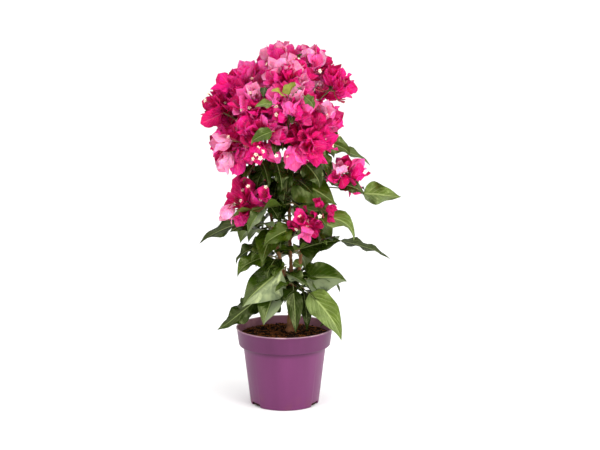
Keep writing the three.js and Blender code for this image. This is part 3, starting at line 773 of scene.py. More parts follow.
# Materials
class Wire:
    """A socket in a node tree that is reckoned with like a number"""

    def __init__(self, nodes, socket):
        self.nodes, self.socket = nodes, socket

    def __add__(self, other):
        return self.nodes.calc("ADD", self, other)

    def __sub__(self, other):
        return self.nodes.calc("SUBTRACT", self, other)

    def __mul__(self, other):
        return self.nodes.calc("MULTIPLY", self, other)

    def __abs__(self):
        return self.nodes.calc("ABSOLUTE", self)


def rgb(value):
    """A wire as it is, or a colour as red, green, blue and alpha"""
    return value if isinstance(value, Wire) else (*value, 1.0)


def shade(value, amount):
    """A colour made darker or lighter"""
    return tuple(min(1.0, v * amount) for v in value)


class Nodes:
    """A shader node tree that grows one node at a time"""

    def __init__(self, tree):
        self.tree = tree

    def feed(self, socket, value):
        """The socket takes a value or a link"""
        if isinstance(value, Wire):
            self.tree.links.new(value.socket, socket)
        else:
            socket.default_value = value

    def add(self, kind, inputs=(), out=0, **settings):
        """A node with its settings and inputs, as the wire from one of its outputs"""
        made = self.tree.nodes.new("ShaderNode" + kind)
        for key, value in settings.items():
            setattr(made, key, value)
        for key, value in dict(inputs).items():
            self.feed(made.inputs[key], value)
        return Wire(self, made.outputs[out])

    def calc(self, operation, *values):
        """Numbers reckoned with"""
        return self.add("Math", enumerate(values), operation=operation)

    def parts(self, vector):
        """A vector's three numbers"""
        made = self.add("SeparateXYZ", {0: vector}).socket.node
        return [Wire(self, socket) for socket in made.outputs]

    def blend(self, factor, one, other):
        """One colour mixed with another"""
        return self.add("Mix", {0: factor, 6: rgb(one), 7: rgb(other)}, 2, data_type="RGBA")

    def spread(self, value, low, high, to_low=0.0, to_high=1.0):
        """A value stretched from one range to another, and kept within it"""
        return self.add("MapRange", {0: value, 1: low, 2: high, 3: to_low, 4: to_high}, clamp=True)

    def cloud(self, given, detail, roughness=0.5):
        """Noise in the object's own coordinates, at the scale and stretch given"""
        where = self.add("Mapping", {"Vector": self.add("TexCoord", out="Object"), "Scale": given["Stretch"]})
        look = {"Scale": given["Scale"], "Detail": detail, "Roughness": roughness}
        return self.add("TexNoise", {"Vector": where, **look})

    def bump(self, height, strength, distance):
        """The surface raised and sunk by a height"""
        return self.add("Bump", {"Height": height, "Strength": strength, "Distance": distance})

    def share_in(self, name, **inputs):
        """A shared group with its inputs, and its outputs as wires by name"""
        made = self.tree.nodes.new("ShaderNodeGroup")
        made.node_tree = bpy.data.node_groups[name]
        for key, value in inputs.items():
            self.feed(made.inputs[key], value)
        return {socket.name: Wire(self, socket) for socket in made.outputs}

    def mottling(self, scale, low, high, stretch=(1, 1, 1)):
        """Cloudy patches"""
        return self.share_in("Mottling", Scale=scale, Low=low, High=high, Stretch=stretch)["Mask"]

    def grain(self, scale, stretch=(1, 1, 1)):
        """Fine grain"""
        return self.share_in("Grain", Scale=scale, Stretch=stretch)["Height"]


class Group(Nodes):
    """A shader node group with named inputs and outputs"""

    def __init__(self, name, inputs, outputs):
        super().__init__(bpy.data.node_groups.new(name, "ShaderNodeTree"))
        sockets = self.tree.interface
        for label, value in inputs.items():
            kind = "NodeSocketVector" if isinstance(value, tuple) else "NodeSocketFloat"
            sockets.new_socket(label, in_out="INPUT", socket_type=kind).default_value = value
        for label in outputs:
            sockets.new_socket(label, in_out="OUTPUT", socket_type="NodeSocketFloat")
        entry = self.tree.nodes.new("NodeGroupInput")
        self.given = {socket.name: Wire(self, socket) for socket in entry.outputs}
        self.out = self.tree.nodes.new("NodeGroupOutput").inputs

    def give(self, **outputs):
        """The group's outputs take these wires"""
        for label, wire in outputs.items():
            self.feed(self.out[label], wire)


class Finish(Nodes):
    """A new material's nodes round its shader"""

    def __init__(self, name):
        self.material = bpy.data.materials.new(name)
        self.material.use_nodes = True
        super().__init__(self.material.node_tree)

    def done(self, **values):
        """The material, its shader's sockets fed by name, with underscores for the spaces"""
        shader = self.tree.nodes["Principled BSDF"]
        for key, value in values.items():
            self.feed(shader.inputs[key.replace("_", " ")], value)
        return self.material


def build_mottling():
    """Cloudy patches of a second colour, at one scale and stretch"""
    nodes = Group("Mottling", {"Scale": 50.0, "Low": 0.4, "High": 0.6, "Stretch": (1, 1, 1)}, ["Mask"])
    cloud = nodes.cloud(nodes.given, 5.0, 0.6)
    nodes.give(Mask=nodes.spread(cloud, nodes.given["Low"], nodes.given["High"]))


def build_grain():
    """Fine grain as a height"""
    nodes = Group("Grain", {"Scale": 900.0, "Stretch": (1, 1, 1)}, ["Height"])
    nodes.give(Height=nodes.cloud(nodes.given, 3.0))


def build_veins():
    """A blade's rib and side veins, on its own UV map, from edge to edge and root to tip"""
    inputs = {"Pairs": 8.0, "Slant": 0.32, "Fineness": 0.16}
    nodes = Group("Blade veins", inputs, ["Mask", "Swell", "Half", "Rib"])
    across, along, _ = nodes.parts(nodes.add("UVMap", uv_map="blade"))
    aside = abs(across - 0.5) * 2.0
    wave = nodes.calc("FRACT", (along - aside * nodes.given["Slant"]) * nodes.given["Pairs"])
    near = abs(wave - 0.5) * 2.0
    side = nodes.spread(near, 0.0, nodes.given["Fineness"], 1.0, 0.0)
    faded = side * nodes.spread(aside, 0.1, 1.0, 0.8, 0.1)
    nodes.give(
        Mask=nodes.calc("MAXIMUM", nodes.spread(aside, 0.02, 0.09, 1.0, 0.0), faded),
        Swell=near * nodes.spread(aside, 0.0, 0.5),
        Half=nodes.spread(across, 0.5, 0.58),
        Rib=nodes.spread(aside, 0.02, 0.06, 1.0, 0.0),
    )


def build_streaks():
    """Streaks that run along a blade and differ from place to place on the bush"""
    nodes = Group("Streaks", {"Across": 7.0, "Along": 1.4}, ["Mask"])
    across, along, _ = nodes.parts(nodes.add("UVMap", uv_map="blade"))
    where = nodes.add("TexCoord", out="Object")
    drift = nodes.add("TexNoise", {"Vector": where, "Scale": 22.0, "Detail": 1.0})
    joined = {0: across * nodes.given["Across"], 1: along * nodes.given["Along"], 2: drift * 14.0}
    noise = {"Vector": nodes.add("CombineXYZ", joined), "Scale": 1.0, "Detail": 4.0, "Roughness": 0.65}
    nodes.give(Mask=nodes.spread(nodes.add("TexNoise", noise), 0.34, 0.66))


def plastic_finish(pot):
    """Satin moulded plastic with flow marks and scuffs, dust at the foot, pale patches inside that are partly
    dust and partly painted light, a painted highlight along the rim, painted shade on the collar and a
    painted shadow under its step
    """
    nodes = Finish("violet plastic")
    flow = nodes.mottling(scale=24.0, low=0.3, high=0.7, stretch=(1, 1, 0.12))
    scuff = nodes.mottling(scale=60.0, low=0.62, high=0.78, stretch=(1, 1, 3))
    dust_and_light_mottle = nodes.mottling(scale=34.0, low=0.5, high=0.75)
    x, y, height = nodes.parts(nodes.add("TexCoord", out="Object"))
    step, top = pot.height - pot.collar_height, pot.height
    moulded = nodes.blend(flow, shade(pot.plastic, 0.9), shade(pot.plastic, 1.1))
    worn = nodes.blend(scuff * 0.25, moulded, shade(pot.plastic, 1.5))
    dusty = nodes.blend(dust_and_light_mottle * nodes.spread(height, 0.0, 0.03, 0.35, 0.0), worn, pot.fibre)
    # Inside the collar, a place is nearer to the axis than the middle of the wall
    slope = (pot.rim - pot.collar) / pot.collar_height
    halfway = height * slope - (slope * top - pot.rim + pot.wall / 2)
    within = nodes.calc("LESS_THAN", nodes.calc("SQRT", x * x + y * y), halfway)
    inside = within * nodes.spread(height, step + 0.001, step + 0.006)
    # Pale pink patches inside the collar: partly dust, partly painted light that lifts the shade inside the
    # pot
    with_inside_dust_and_light = nodes.blend(inside * nodes.spread(dust_and_light_mottle, 0.0, 1.0, 0.45, 0.9), dusty, srgb(0xCC929A))
    # Painted highlight: a pale band along the top of the rolled rim, broken up by the mottling
    rim_highlight_mask = nodes.spread(height, top - 0.0022, top - 0.0012) * nodes.spread(dust_and_light_mottle, 0.0, 0.4, 0.4, 0.9)
    with_rim_highlight = nodes.blend(rim_highlight_mask, with_inside_dust_and_light, srgb(0xD8B4BC))
    # Painted shade: the collar, from its step up, darkened by up to 28 percent
    collar_shade = nodes.spread(height, step - 0.001, step, 0.0, 0.28)
    # Painted shadow: a dark band on the neck just under the collar's step
    step_shadow_ramp = nodes.spread(height, step - 0.009, step - 0.0005, 0.0, 0.5)
    step_shadow = step_shadow_ramp * nodes.spread(height, step + 0.0005, step + 0.0025, 1.0, 0.0)
    return nodes.done(
        Base_Color=nodes.blend(nodes.calc("MAXIMUM", collar_shade, step_shadow), with_rim_highlight, (0, 0, 0)),
        Roughness=nodes.spread(scuff, 0, 1, 0.42, 0.58),
        Normal=nodes.bump(nodes.grain(1400.0), 0.12, 0.0004),
        Specular_IOR_Level=0.35,
        Specular_Tint=rgb((1.0, 0.75, 0.95)),
    )


def soil_finish(name, base_colour, other_colour):
    """Damp peat: dark, with browner patches and a coarse grain"""
    nodes = Finish(name)
    grain = nodes.grain(1100.0)
    return nodes.done(
        Base_Color=nodes.blend(nodes.mottling(scale=160.0, low=0.42, high=0.62), base_colour, other_colour),
        Roughness=nodes.spread(grain, 0.3, 0.7, 0.8, 0.95),
        Normal=nodes.bump(grain, 0.6, 0.001),
        Specular_IOR_Level=0.08,
    )


def bark_finish(leaves):
    """Brown bark with long fibres, dark cracks and paler patches"""
    nodes = Finish("bark")
    fibre = nodes.mottling(scale=260.0, low=0.4, high=0.6, stretch=(1, 1, 0.16))
    patch = nodes.mottling(scale=60.0, low=0.4, high=0.7)
    base = nodes.blend(fibre, shade(leaves.bark, 0.5), shade(leaves.bark, 1.3))
    return nodes.done(
        Base_Color=nodes.blend(patch * 0.35, base, srgb(0x8C6C42)),
        Roughness=nodes.spread(fibre, 0, 1, 0.92, 0.75),
        Normal=nodes.bump(nodes.grain(700.0, (1, 1, 0.2)), 0.7, 0.001),
    )


def stem_finish(name, base_colour, other_colour):
    """Young stems: green that browns in patches"""
    nodes = Finish(name)
    patch = nodes.mottling(scale=70.0, low=0.4, high=0.65, stretch=(1, 1, 0.5))
    return nodes.done(
        Base_Color=nodes.blend(patch, base_colour, other_colour),
        Roughness=nodes.spread(patch, 0, 1, 0.5, 0.7),
        Normal=nodes.bump(nodes.grain(1500.0), 0.3, 0.0004),
    )


def leaf_finish(name, base_colour, gloss, vein, painted, shine):
    """A glossy blade with lighter veins, cloudy greens, a painted sheen on one half and a paler, duller
    underside
    """
    nodes = Finish(name)
    cloud = nodes.mottling(scale=45.0, low=0.35, high=0.65)
    cockled = nodes.mottling(scale=38.0, low=0.2, high=0.8)
    veins = nodes.share_in("Blade veins", Pairs=7.0, Slant=0.42, Fineness=0.2)
    streaks = nodes.share_in("Streaks", Across=5.0, Along=3.0)["Mask"]
    under = nodes.add("NewGeometry", out="Backfacing")
    base = nodes.blend(cloud, shade(base_colour, 0.75), shade(base_colour, 1.15))
    mottled = nodes.blend(streaks * 0.35, base, shade(base_colour, 1.5))
    # Painted sheen: one half of each blade washed pale silver-green, by the tint's share
    painted_sheen = nodes.blend(veins["Half"] * painted, mottled, srgb(0xA0AC8C))
    clear = nodes.calc("MAXIMUM", veins["Mask"] * vein, veins["Rib"] * 0.5)
    veined = nodes.blend(clear, painted_sheen, srgb(0x9AA868))
    pale = nodes.blend(0.3, veined, srgb(0x66782E))
    height = veins["Swell"] * (vein * 1.2) + cockled * 1.5 - veins["Mask"] * 0.4 + nodes.grain(420.0) * 0.3
    return nodes.done(
        Base_Color=nodes.blend(under, veined, pale),
        Roughness=nodes.spread(streaks, 0, 1, gloss + 0.08, gloss) + under * 0.25,
        Normal=nodes.bump(height, 0.5, 0.0012),
        Specular_IOR_Level=shine,
        Specular_Tint=rgb((0.92, 1.0, 0.46)),
    )


def bract_finish(name, base_colour, wash):
    """Papery bracts: fine veins, streaks of deeper and paler pink, and a paler outside"""
    nodes = Finish(name)
    streaks = nodes.share_in("Streaks", Across=6.0, Along=1.6)["Mask"]
    cloud = nodes.mottling(scale=70.0, low=0.35, high=0.65)
    veins = nodes.share_in("Blade veins", Pairs=6.0, Slant=0.5, Fineness=0.3)
    outside = nodes.add("NewGeometry", out="Backfacing")
    base = nodes.blend(cloud, shade(base_colour, 0.76), shade(base_colour, 1.15))
    washed = nodes.blend(streaks * wash, base, srgb(0xFF74B4))
    veined = nodes.blend(veins["Mask"] * (0.16 + wash * 0.4), washed, srgb(0xFF96C0))
    pale = nodes.blend(wash * 0.4, veined, srgb(0xFF8CBA))
    height = veins["Swell"] * 0.5 - veins["Mask"] * 0.4 + nodes.grain(300.0) * 0.6
    return nodes.done(
        Base_Color=nodes.blend(outside, veined, pale),
        Roughness=0.6,
        Normal=nodes.bump(height, 0.8, 0.0014),
        Subsurface_Weight=0.5,
        Subsurface_Radius=(0.012, 0.002, 0.005),
        Subsurface_Scale=1.0,
        Specular_IOR_Level=0.1,
        Specular_Tint=rgb((1.0, 0.5, 0.75)),
    )


def flower_finish(name, base_colour, other_colour):
    """Waxy flowers, a little darker in patches"""
    nodes = Finish(name)
    cloud = nodes.mottling(scale=220.0, low=0.35, high=0.65)
    return nodes.done(
        Base_Color=nodes.blend(cloud, base_colour, other_colour),
        Roughness=nodes.spread(cloud, 0, 1, 0.5, 0.65),
        Normal=nodes.bump(nodes.grain(1200.0), 0.25, 0.0004),
    )


def floor_finish(studio):
    """A plain pale floor, hardly mottled"""
    nodes = Finish("pale floor")
    cloud = nodes.mottling(scale=3.0, low=0.3, high=0.7)
    pale = nodes.blend(cloud, studio.pale, shade(studio.pale, 1.02))
    return nodes.done(Base_Color=pale, Roughness=0.9)


class BUSH_OT_pot(bpy.types.Operator):
    """Model the pot: a turned wall with a stepped collar, a rolled rim and three drain notches"""

    bl_idname = "bush.pot"
    bl_label = "Pot"

    STEP, EASE, DRAFT = 0.0025, 0.0015, 0.0006
    EDGE, SHARP, SMOOTH = 0.0005, 35, 40  # the bevel's width, and the angles that it and the shading keep to
    NOTCH = {"first": 93, "width": 0.026, "depth": 0.009, "height": 0.007, "ease": 0.003}

    def execute(self, context):
        pot, step = context.scene.bush_pot, self.STEP
        foot_of_collar = pot.height - pot.collar_height
        slope = (pot.rim - pot.collar) / (pot.collar_height - step)
        bead_at = (pot.rim - pot.bead, pot.height - pot.bead)
        under_bead = bead_at[1] - pot.bead
        outside = [
            (pot.foot - self.EASE, 0),
            (pot.foot, self.EASE),
            (pot.neck, foot_of_collar),
            *arc((pot.collar - step, foot_of_collar + step), step, -80, 0, 5),
            (pot.collar + slope * (under_bead - foot_of_collar - step) - self.DRAFT, under_bead),
        ]
        rim = arc(bead_at, pot.bead, -40, 200, 10)
        inside = [
            (pot.rim - pot.wall - pot.bead, under_bead),
            (pot.collar - pot.wall, foot_of_collar + step + pot.wall),
            (pot.neck - pot.wall, foot_of_collar + pot.wall),
            (pot.foot - pot.wall, pot.floor),
            (pot.foot / 2, pot.floor),
        ]
        obj = turned("pot_shell", outside + rim + inside, pot.facets)
        self.cut_notches(obj, pot)
        sharp = {"limit_method": "ANGLE", "angle_limit": math.radians(self.SHARP)}
        apply_modifier(obj, "BEVEL", width=self.EDGE, segments=2, **sharp)
        smooth_by_angle(obj, self.SMOOTH)
        obj.data.materials.append(plastic_finish(pot))
        finish_piece(obj, ["pot"])
        return {"FINISHED"}

    def cut_notches(self, obj, pot):
        """Cuts the drain notches from the foot, the first one at the back"""
        for k in range(pot.slots):
            turn = math.radians(self.NOTCH["first"] + 360 * k / pot.slots)
            deselect()
            bpy.ops.mesh.primitive_cube_add(
                size=1,
                location=(pot.foot * math.cos(turn), pot.foot * math.sin(turn), 0),
                rotation=(0, 0, turn),
                scale=(self.NOTCH["depth"] * 2, self.NOTCH["width"], self.NOTCH["height"] * 2),
            )
            cutter = bpy.context.object
            apply_modifier(cutter, "BEVEL", width=self.NOTCH["ease"], segments=3)
            apply_modifier(obj, "BOOLEAN", object=cutter, operation="DIFFERENCE", solver="EXACT")
            bpy.data.objects.remove(cutter)


class BUSH_OT_soil(bpy.types.Operator):
    """Model the soil: a filled mound with lumps, and loose crumbs and fibres on it"""

    bl_idname = "bush.soil"
    bl_label = "Soil"

    GAP, SLOPE_SHARE = 0.0004, 0.35
    RINGS, FACETS, SMOOTH = 40, 96, 60
    LUMPS = {"size": 0.012, "depth": 3, "height": 0.007}
    CRUMB = {"size": (0.6, 1.6), "above": 0.6, "vary": 1.0, "heights": (-0.9, -0.5, 0.3, 0.8),
             "widths": (0.3, 0.95, 1.0, 0.35), "skew": 0.2}
    FIBRE = {"reach": 0.94, "above": 1.4, "long": (4, 9), "bow": 2.5, "rise": 12, "fall": -4,
             "radii": (0.28, 0.3, 0.26, 0.22, 0.1)}

    def execute(self, context):
        pot, step = context.scene.bush_pot, BUSH_OT_pot.STEP
        slip = pot.wall + self.GAP
        foot_of_collar = pot.height - pot.collar_height
        up_collar = (pot.soil_edge - foot_of_collar - step) / (pot.collar_height - step)
        edge = pot.collar + (pot.rim - pot.collar) * up_collar - slip
        sides = [
            (pot.foot - slip, pot.floor + 0.0003),
            (pot.neck - slip, foot_of_collar + pot.wall),
            (pot.collar - slip, foot_of_collar + step + pot.wall),
            (edge, pot.soil_edge),
        ]
        rings = [(edge * s, self.mound(pot, s)) for s in np.linspace(0.98, 0.03, self.RINGS)]
        obj = turned("soil_mound", sides + rings, self.FACETS)
        lumps = bpy.data.textures.new("lumps", "CLOUDS")
        lumps.noise_scale = self.LUMPS["size"]
        lumps.noise_depth = self.LUMPS["depth"]
        top = [v.index for v in obj.data.vertices if v.co.z > pot.soil_edge + 0.0002]
        obj.vertex_groups.new(name="top").add(top, 1.0, "REPLACE")
        raised = {"direction": "Z", "strength": self.LUMPS["height"], "mid_level": 0.5, "vertex_group": "top"}
        apply_modifier(obj, "DISPLACE", texture=lumps, **raised)
        smooth_by_angle(obj, self.SMOOTH)
        obj.data.materials.append(soil_finish("peat", pot.peat, srgb(0x301A0A)))
        finish_piece(obj, ["soil"])
        self.scatter(pot, edge)
        return {"FINISHED"}

    def mound(self, pot, s):
        """Height of the mound at a share of its edge"""
        return pot.soil_edge + (pot.soil_level - pot.soil_edge) * min(1, (1 - s) / self.SLOPE_SHARE)

    def spot(self, pot, edge, out, turn, above):
        """A place above the mound, at a share of its edge and a turn round it"""
        reach = (edge / MM - 2) * out
        return np.array((math.cos(turn) * reach, math.sin(turn) * reach, self.mound(pot, out) / MM + above))

    def scatter(self, pot, edge):
        """Crumbs and fibres strewn over the mound"""
        draw = seeded(SEEDS["soil"])
        crumbs, fibres = Batch(), Batch()
        crumb, fibre = self.CRUMB, self.FIBRE
        for _ in range(pot.crumbs):
            out, turn = math.sqrt(draw()), draw() * math.tau
            size = crumb["size"][0] + crumb["size"][1] * draw() ** 2
            at = self.spot(pot, edge, out, turn, around(draw, crumb["vary"]) + crumb["above"])
            self.crumb(crumbs, at, size, draw)
        for _ in range(pot.fibres):
            out, turn, way = math.sqrt(draw()) * fibre["reach"], draw() * math.tau, draw() * 360
            at = self.spot(pot, edge, out, turn, fibre["above"] + draw())
            long = fibre["long"][0] + fibre["long"][1] * draw()
            middle = at + heading(way, fibre["rise"]) * long / 2
            middle = middle + heading(way + 90, 0) * around(draw, fibre["bow"])
            path = [at, middle, at + heading(way, fibre["fall"]) * long]
            fibres.tube([bezier(path, t) for t in np.linspace(0, 1, 5)], fibre["radii"], 4)
        crumb_look = soil_finish("crumbs", srgb(0x28160A), srgb(0x140A05))
        crumbs.piece("soil_crumbs", crumb_look, "potting_soil", smooth=False)
        fibres.piece("soil_fibres", soil_finish("fibres", pot.fibre, srgb(0x9A5E2C)), "potting_soil")

    def crumb(self, batch, at, size, draw):
        """A lump of five-sided rings with its own stretch"""
        skew, spots = self.CRUMB["skew"], []
        for height in self.CRUMB["heights"]:
            spots.append(at + np.array((around(draw, skew), around(draw, skew), size * height)))
        batch.tube(spots, [size * w * (1 + around(draw, skew)) for w in self.CRUMB["widths"]], 5)


def trunk_radius(t):
    """The trunk's radius, which flares at its foot"""
    low, high = TRUNK_RADII
    extra, fade = FLARE
    return low + (high - low) * t + extra * math.exp(-t / fade)


def cane_radius(t):
    """A cane's radius, which swells at its nodes"""
    root, tip = CANE_RADII
    from_node = (t * CANE_NODES % 1 - 0.5) / NODE_LENGTH
    return root + (tip - root) * t + NODE_SWELL * math.exp(-(from_node**2))


class BUSH_OT_limbs(bpy.types.Operator):
    """Model the trunk and the three canes, with the relief of their bark"""

    bl_idname = "bush.limbs"
    bl_label = "Trunk and canes"

    def execute(self, context):
        leaves = context.scene.bush_leaves
        material = bark_finish(leaves)
        self.limb("trunk", TRUNK, trunk_radius, TRUNK_STEPS, leaves.relief, material)
        for name, curve in CANES.items():
            self.limb(f"cane_{name}", curve, cane_radius, CANE_STEPS, leaves.relief * CANE_RELIEF, material)
        return {"FINISHED"}

    @staticmethod
    def limb(node, curve, radius_at, steps, relief, material):
        """A path given its bends and radii, made round, turned into a mesh and raised into ridges"""
        deselect()
        bpy.ops.curve.primitive_nurbs_path_add()
        obj = bpy.context.object
        obj.name = f"{node}_bark"
        path = obj.data
        path.splines.clear()
        spline = path.splines.new("POLY")
        spline.points.add(steps)
        for k, spot in enumerate(spline.points):
            t = k / steps
            spot.co = (*(bezier(curve, t) * MM), 1)
            spot.radius = radius_at(t) * MM
        path.bevel_depth = 1
        path.bevel_resolution = 4
        path.use_fill_caps = True
        bpy.ops.object.convert(target="MESH")
        obj = bpy.context.object
        ridges = bpy.data.textures.new("ridges", "MUSGRAVE")
        ridges.noise_scale = RIDGE_SIZE
        apply_modifier(obj, "DISPLACE", texture=ridges, strength=relief, mid_level=0.5)
        smooth_by_angle(obj, 70)
        obj.data.materials.clear()
        obj.data.materials.append(material)
        finish_piece(obj, [node])


class BUSH_OT_twigs(bpy.types.Operator):
    """Grow the stems, thorns, leaf stalks and spray stalks"""

    bl_idname = "bush.twigs"
    bl_label = "Twigs"

    LEAF_STALK, LEAF_STALK_PAST = (1.1, 0.9, 0.85, 0.8), 0.04
    SPRAY_STALK, SPRAY_STALK_SAG = (0.95, 0.8, 0.75, 0.75, 1.0), 4
    SIDES, STEM_SIDES, STEM_STEPS = 5, 6, 8

    def execute(self, context):
        leaves, blossom = context.scene.bush_leaves, context.scene.bush_blossom
        green, brown = Batch(), Batch()
        for _, curve, _ in all_shoots():
            self.stem(brown, curve, SHOOT["radii"])
        for _, _, curve, _ in all_blooms():
            self.stem(brown, curve, BLOOM["radii"])
        draw = seeded(SEEDS["thorn"])
        for curve in CANES.values():
            for k in range(THORN["count"]):
                self.thorn(brown, curve, (k + 0.5) / CANE_NODES, draw)
        shares = np.linspace(0, leaves.petiole + self.LEAF_STALK_PAST, len(self.LEAF_STALK))
        for leaf, _ in all_leaves(leaves.small_share):
            green.tube(leaf_path(leaf, shares, 0)[0], self.LEAF_STALK, self.SIDES)
        for spray, _ in all_sprays(blossom.side_sprays):
            middle = (spray["from"] + spray["at"]) / 2 - spray["axis"] * self.SPRAY_STALK_SAG
            steps = np.linspace(0, 1, len(self.SPRAY_STALK))
            path = [bezier((spray["from"], middle, spray["at"]), t) for t in steps]
            green.tube(path, self.SPRAY_STALK, self.SIDES)
        nodes = [f"leaves_{row['name']}" for row in SHOOTS]
        green.piece("green_stalks", stem_finish("green stalk", leaves.twig, srgb(0x7C5A36)), "leaf")
        brown.piece("brown_stems", stem_finish("brown stem", srgb(0x6A4E30), srgb(0x5A6232)), "bark", nodes)
        return {"FINISHED"}

    def thorn(self, batch, curve, t, draw):
        """A thorn that leaves a cane at a node and bends down a little"""
        way = unit(heading(draw() * 360, THORN["rise"]) + THORN["lean"] * ahead(curve, t))
        long = THORN["long"][0] + THORN["long"][1] * draw()
        foot = bezier(curve, t) + way * THORN["root"]
        tip = foot + way * long - np.array((0, 0, THORN["hook"]))
        path = [foot, foot + way * long * THORN["bend"], tip]
        batch.tube([bezier(path, s) for s in THORN["places"]], THORN["radii"], self.SIDES)

    def stem(self, batch, curve, radii):
        """A brown stem along its curve"""
        steps = np.linspace(0, 1, self.STEM_STEPS + 1)
        widths = radii[0] + (radii[1] - radii[0]) * steps
        batch.tube([bezier(curve, t) for t in steps], widths, self.STEM_SIDES)


# Blades: their rows from root to tip and columns from edge to edge, how their outline rounds at the root
# and draws out to the tip, its full and least half width, their waves, how a leaf's halves hollow, how far
# a spray's bracts stand apart, and how far each measure varies
LEAF = {"rows": 14, "columns": 8, "outline": (0.55, 1.3), "full": (0.985, 0.008), "waves": (1.6, 1.4),
        "hollow": (1.25, 0.5), "vary": {"wide": 0.15, "curl": 0.9, "twist": 22, "fold": 0.5, "wave": 0.5}}
BRACT = {"rows": 8, "columns": 6, "outline": (0.5, 0.62), "full": (0.98, 0.015), "waves": (1.2, 1.0),
         "apart": 1.0, "vary": {"long": 0.08, "root": 8, "tip": 20, "cup": 0.7, "wave": 0.5, "roll": 16}}
RIB_STEPS, CURL_FROM, CURL_POWER = 33, 0.6, 1.5  # a leaf's tip curls from this share of its length on


def run_and_fall(bend, gap):
    """How far a rib has run straight on and bent aside after each step, from its bend in radians"""
    middle = (bend[1:] + bend[:-1]) / 2
    return [np.concatenate(([0], np.cumsum(part(middle) * gap))) for part in (np.cos, np.sin)]


def leaf_path(leaf, shares, curl):
    """Places along a leaf's rib at shares of its length, its bend there, and its own three directions"""
    forward, above = heading(leaf["azimuth"], leaf["tilt"]), heading(leaf["azimuth"], leaf["tilt"] + 90)
    steps = np.unique(np.concatenate((np.linspace(0, 1, RIB_STEPS), shares)))
    curled = np.clip((steps - CURL_FROM) / (1 - CURL_FROM), 0, 1) ** CURL_POWER
    bend = np.radians(leaf["droop"]) * steps + curl * curled
    run, fall = run_and_fall(bend, np.diff(steps) * leaf["length"])
    spots = leaf["at"] + forward * np.interp(shares, steps, run)[:, None]
    spots = spots - above * np.interp(shares, steps, fall)[:, None]
    return spots, np.interp(shares, steps, bend), (forward, above, np.cross(forward, above))


def blade_layout(kind, widest, draw):
    """A blade's rows and columns, its half width along it, and waves that differ from edge to edge"""
    rows, columns = np.linspace(0, 1, kind["rows"] + 1), np.linspace(-1, 1, kind["columns"] + 1)
    low, high = kind["outline"]
    peak = low / (low + high)
    outline = (rows**low * (1 - rows) ** high) / (peak**low * (1 - peak) ** high)
    full, least = kind["full"]
    fewest, more = kind["waves"]
    waves = fewest + draw() * more
    phases = draw() * math.tau, draw() * math.tau
    left, right = (np.sin(math.tau * waves * rows + phase)[:, None] for phase in phases)
    return rows, columns, widest * (outline * full + least)[:, None], np.where(columns < 0, left, right)


def blade(spots, bend, lift, across, roll, directions):
    """Places of a blade, lifted from its rib and laid across it, and rolled about it"""
    forward, above, side = directions
    outward = lift * np.cos(roll) - across * np.sin(roll)
    sideways = across * np.cos(roll) + lift * np.sin(roll)
    bend = bend[:, None, None]
    raised = outward[..., None] * (forward * np.sin(bend) + above * np.cos(bend))
    return spots[:, None] + raised + sideways[..., None] * side


def leaf_sheet(leaf, look, draw):
    """One blade of a leaf: its places and where they lie on its own map"""
    vary = {word: around(draw, reach) for word, reach in LEAF["vary"].items()}
    drawn = {
        "wide": look.width * (1 + vary["wide"]),
        "curl": math.degrees(look.tip_curl) * (1 + vary["curl"]),
        "twist": vary["twist"],
        "fold": look.fold * (1 + vary["fold"]),
        "wave": look.wave * (1 + vary["wave"]),
    }
    shape = {word: drawn[word] if leaf[word] is None else leaf[word] for word in drawn}
    rows, columns, half, wave = blade_layout(LEAF, leaf["length"] * shape["wide"] / 2, draw)
    shares = look.petiole + (1 - look.petiole) * rows
    spots, bend, directions = leaf_path(leaf, shares, math.radians(shape["curl"]))
    roll = np.radians(leaf["roll"] + shape["twist"] * rows)[:, None]
    across, edge = half * columns, np.abs(columns)
    hollow = np.abs(across) * (LEAF["hollow"][0] - LEAF["hollow"][1] * edge)
    lift = shape["fold"] * hollow + shape["wave"] * half * wave * edge**2
    # The map is mirrored for a negative roll, which moves the painted sheen to the other half
    lower = 1 if leaf["roll"] >= 0 else -1
    return blade(spots, bend, lift, across, roll, directions), blade_map((columns * lower + 1) / 2, rows)


class BUSH_OT_leaves(bpy.types.Operator):
    """Grow the leaves: each blade with its own fold, waves, twist and curled tip"""

    bl_idname = "bush.leaves"
    bl_label = "Leaves"

    # How rough each tint's blades are, how clear their veins, how much painted sheen their lower half
    # carries, and how they shine
    TINTS = {
        "deep": (0.18, 0.12, 0.0, 0.42),
        "fresh": (0.18, 0.14, 0.0, 0.62),
        "silver": (0.2, 0.12, 0.34, 0.72),
        "bright": (0.24, 0.8, 0.1, 0.5),
        "young": (0.4, 0.3, 0.1, 0.4),
    }
    # A leaf whose tint isn't told takes the first one whose number is above the leaf's chance
    DEALT = {"deep": 0.5, "fresh": 0.82, "silver": 1}

    def execute(self, context):
        look = context.scene.bush_leaves
        batches = {tint: Batch() for tint in self.TINTS}
        for leaf, draw in all_leaves(look.small_share):
            chance = draw()
            tint = leaf["tint"] or next(name for name, above in self.DEALT.items() if chance < above)
            batches[tint].patch(*leaf_sheet(leaf, look, draw))
        nodes = [f"leaves_{row['name']}" for row in SHOOTS]
        for tint, batch in batches.items():
            material = leaf_finish(f"{tint} leaf", getattr(look, tint), *self.TINTS[tint])
            batch.piece(f"foliage_{tint}", material, "leaf", nodes)
        return {"FINISHED"}


def painted_lightness(at):
    """How light the painted light and shade make the blossom at a place: about 0 where it is deepest in
    painted shade, and 1 where it is lightest
    """
    light = PAINTED_LIGHT["level"] + PAINTED_LIGHT["per_100"] * (at[2] - PAINTED_LIGHT["height"]) / 100
    for x, y, z, reach, more in PAINTED_LIGHT_SPOTS:
        light += more * math.exp(-((np.linalg.norm(at - np.array((x, y, z))) / reach) ** 2))
    return light


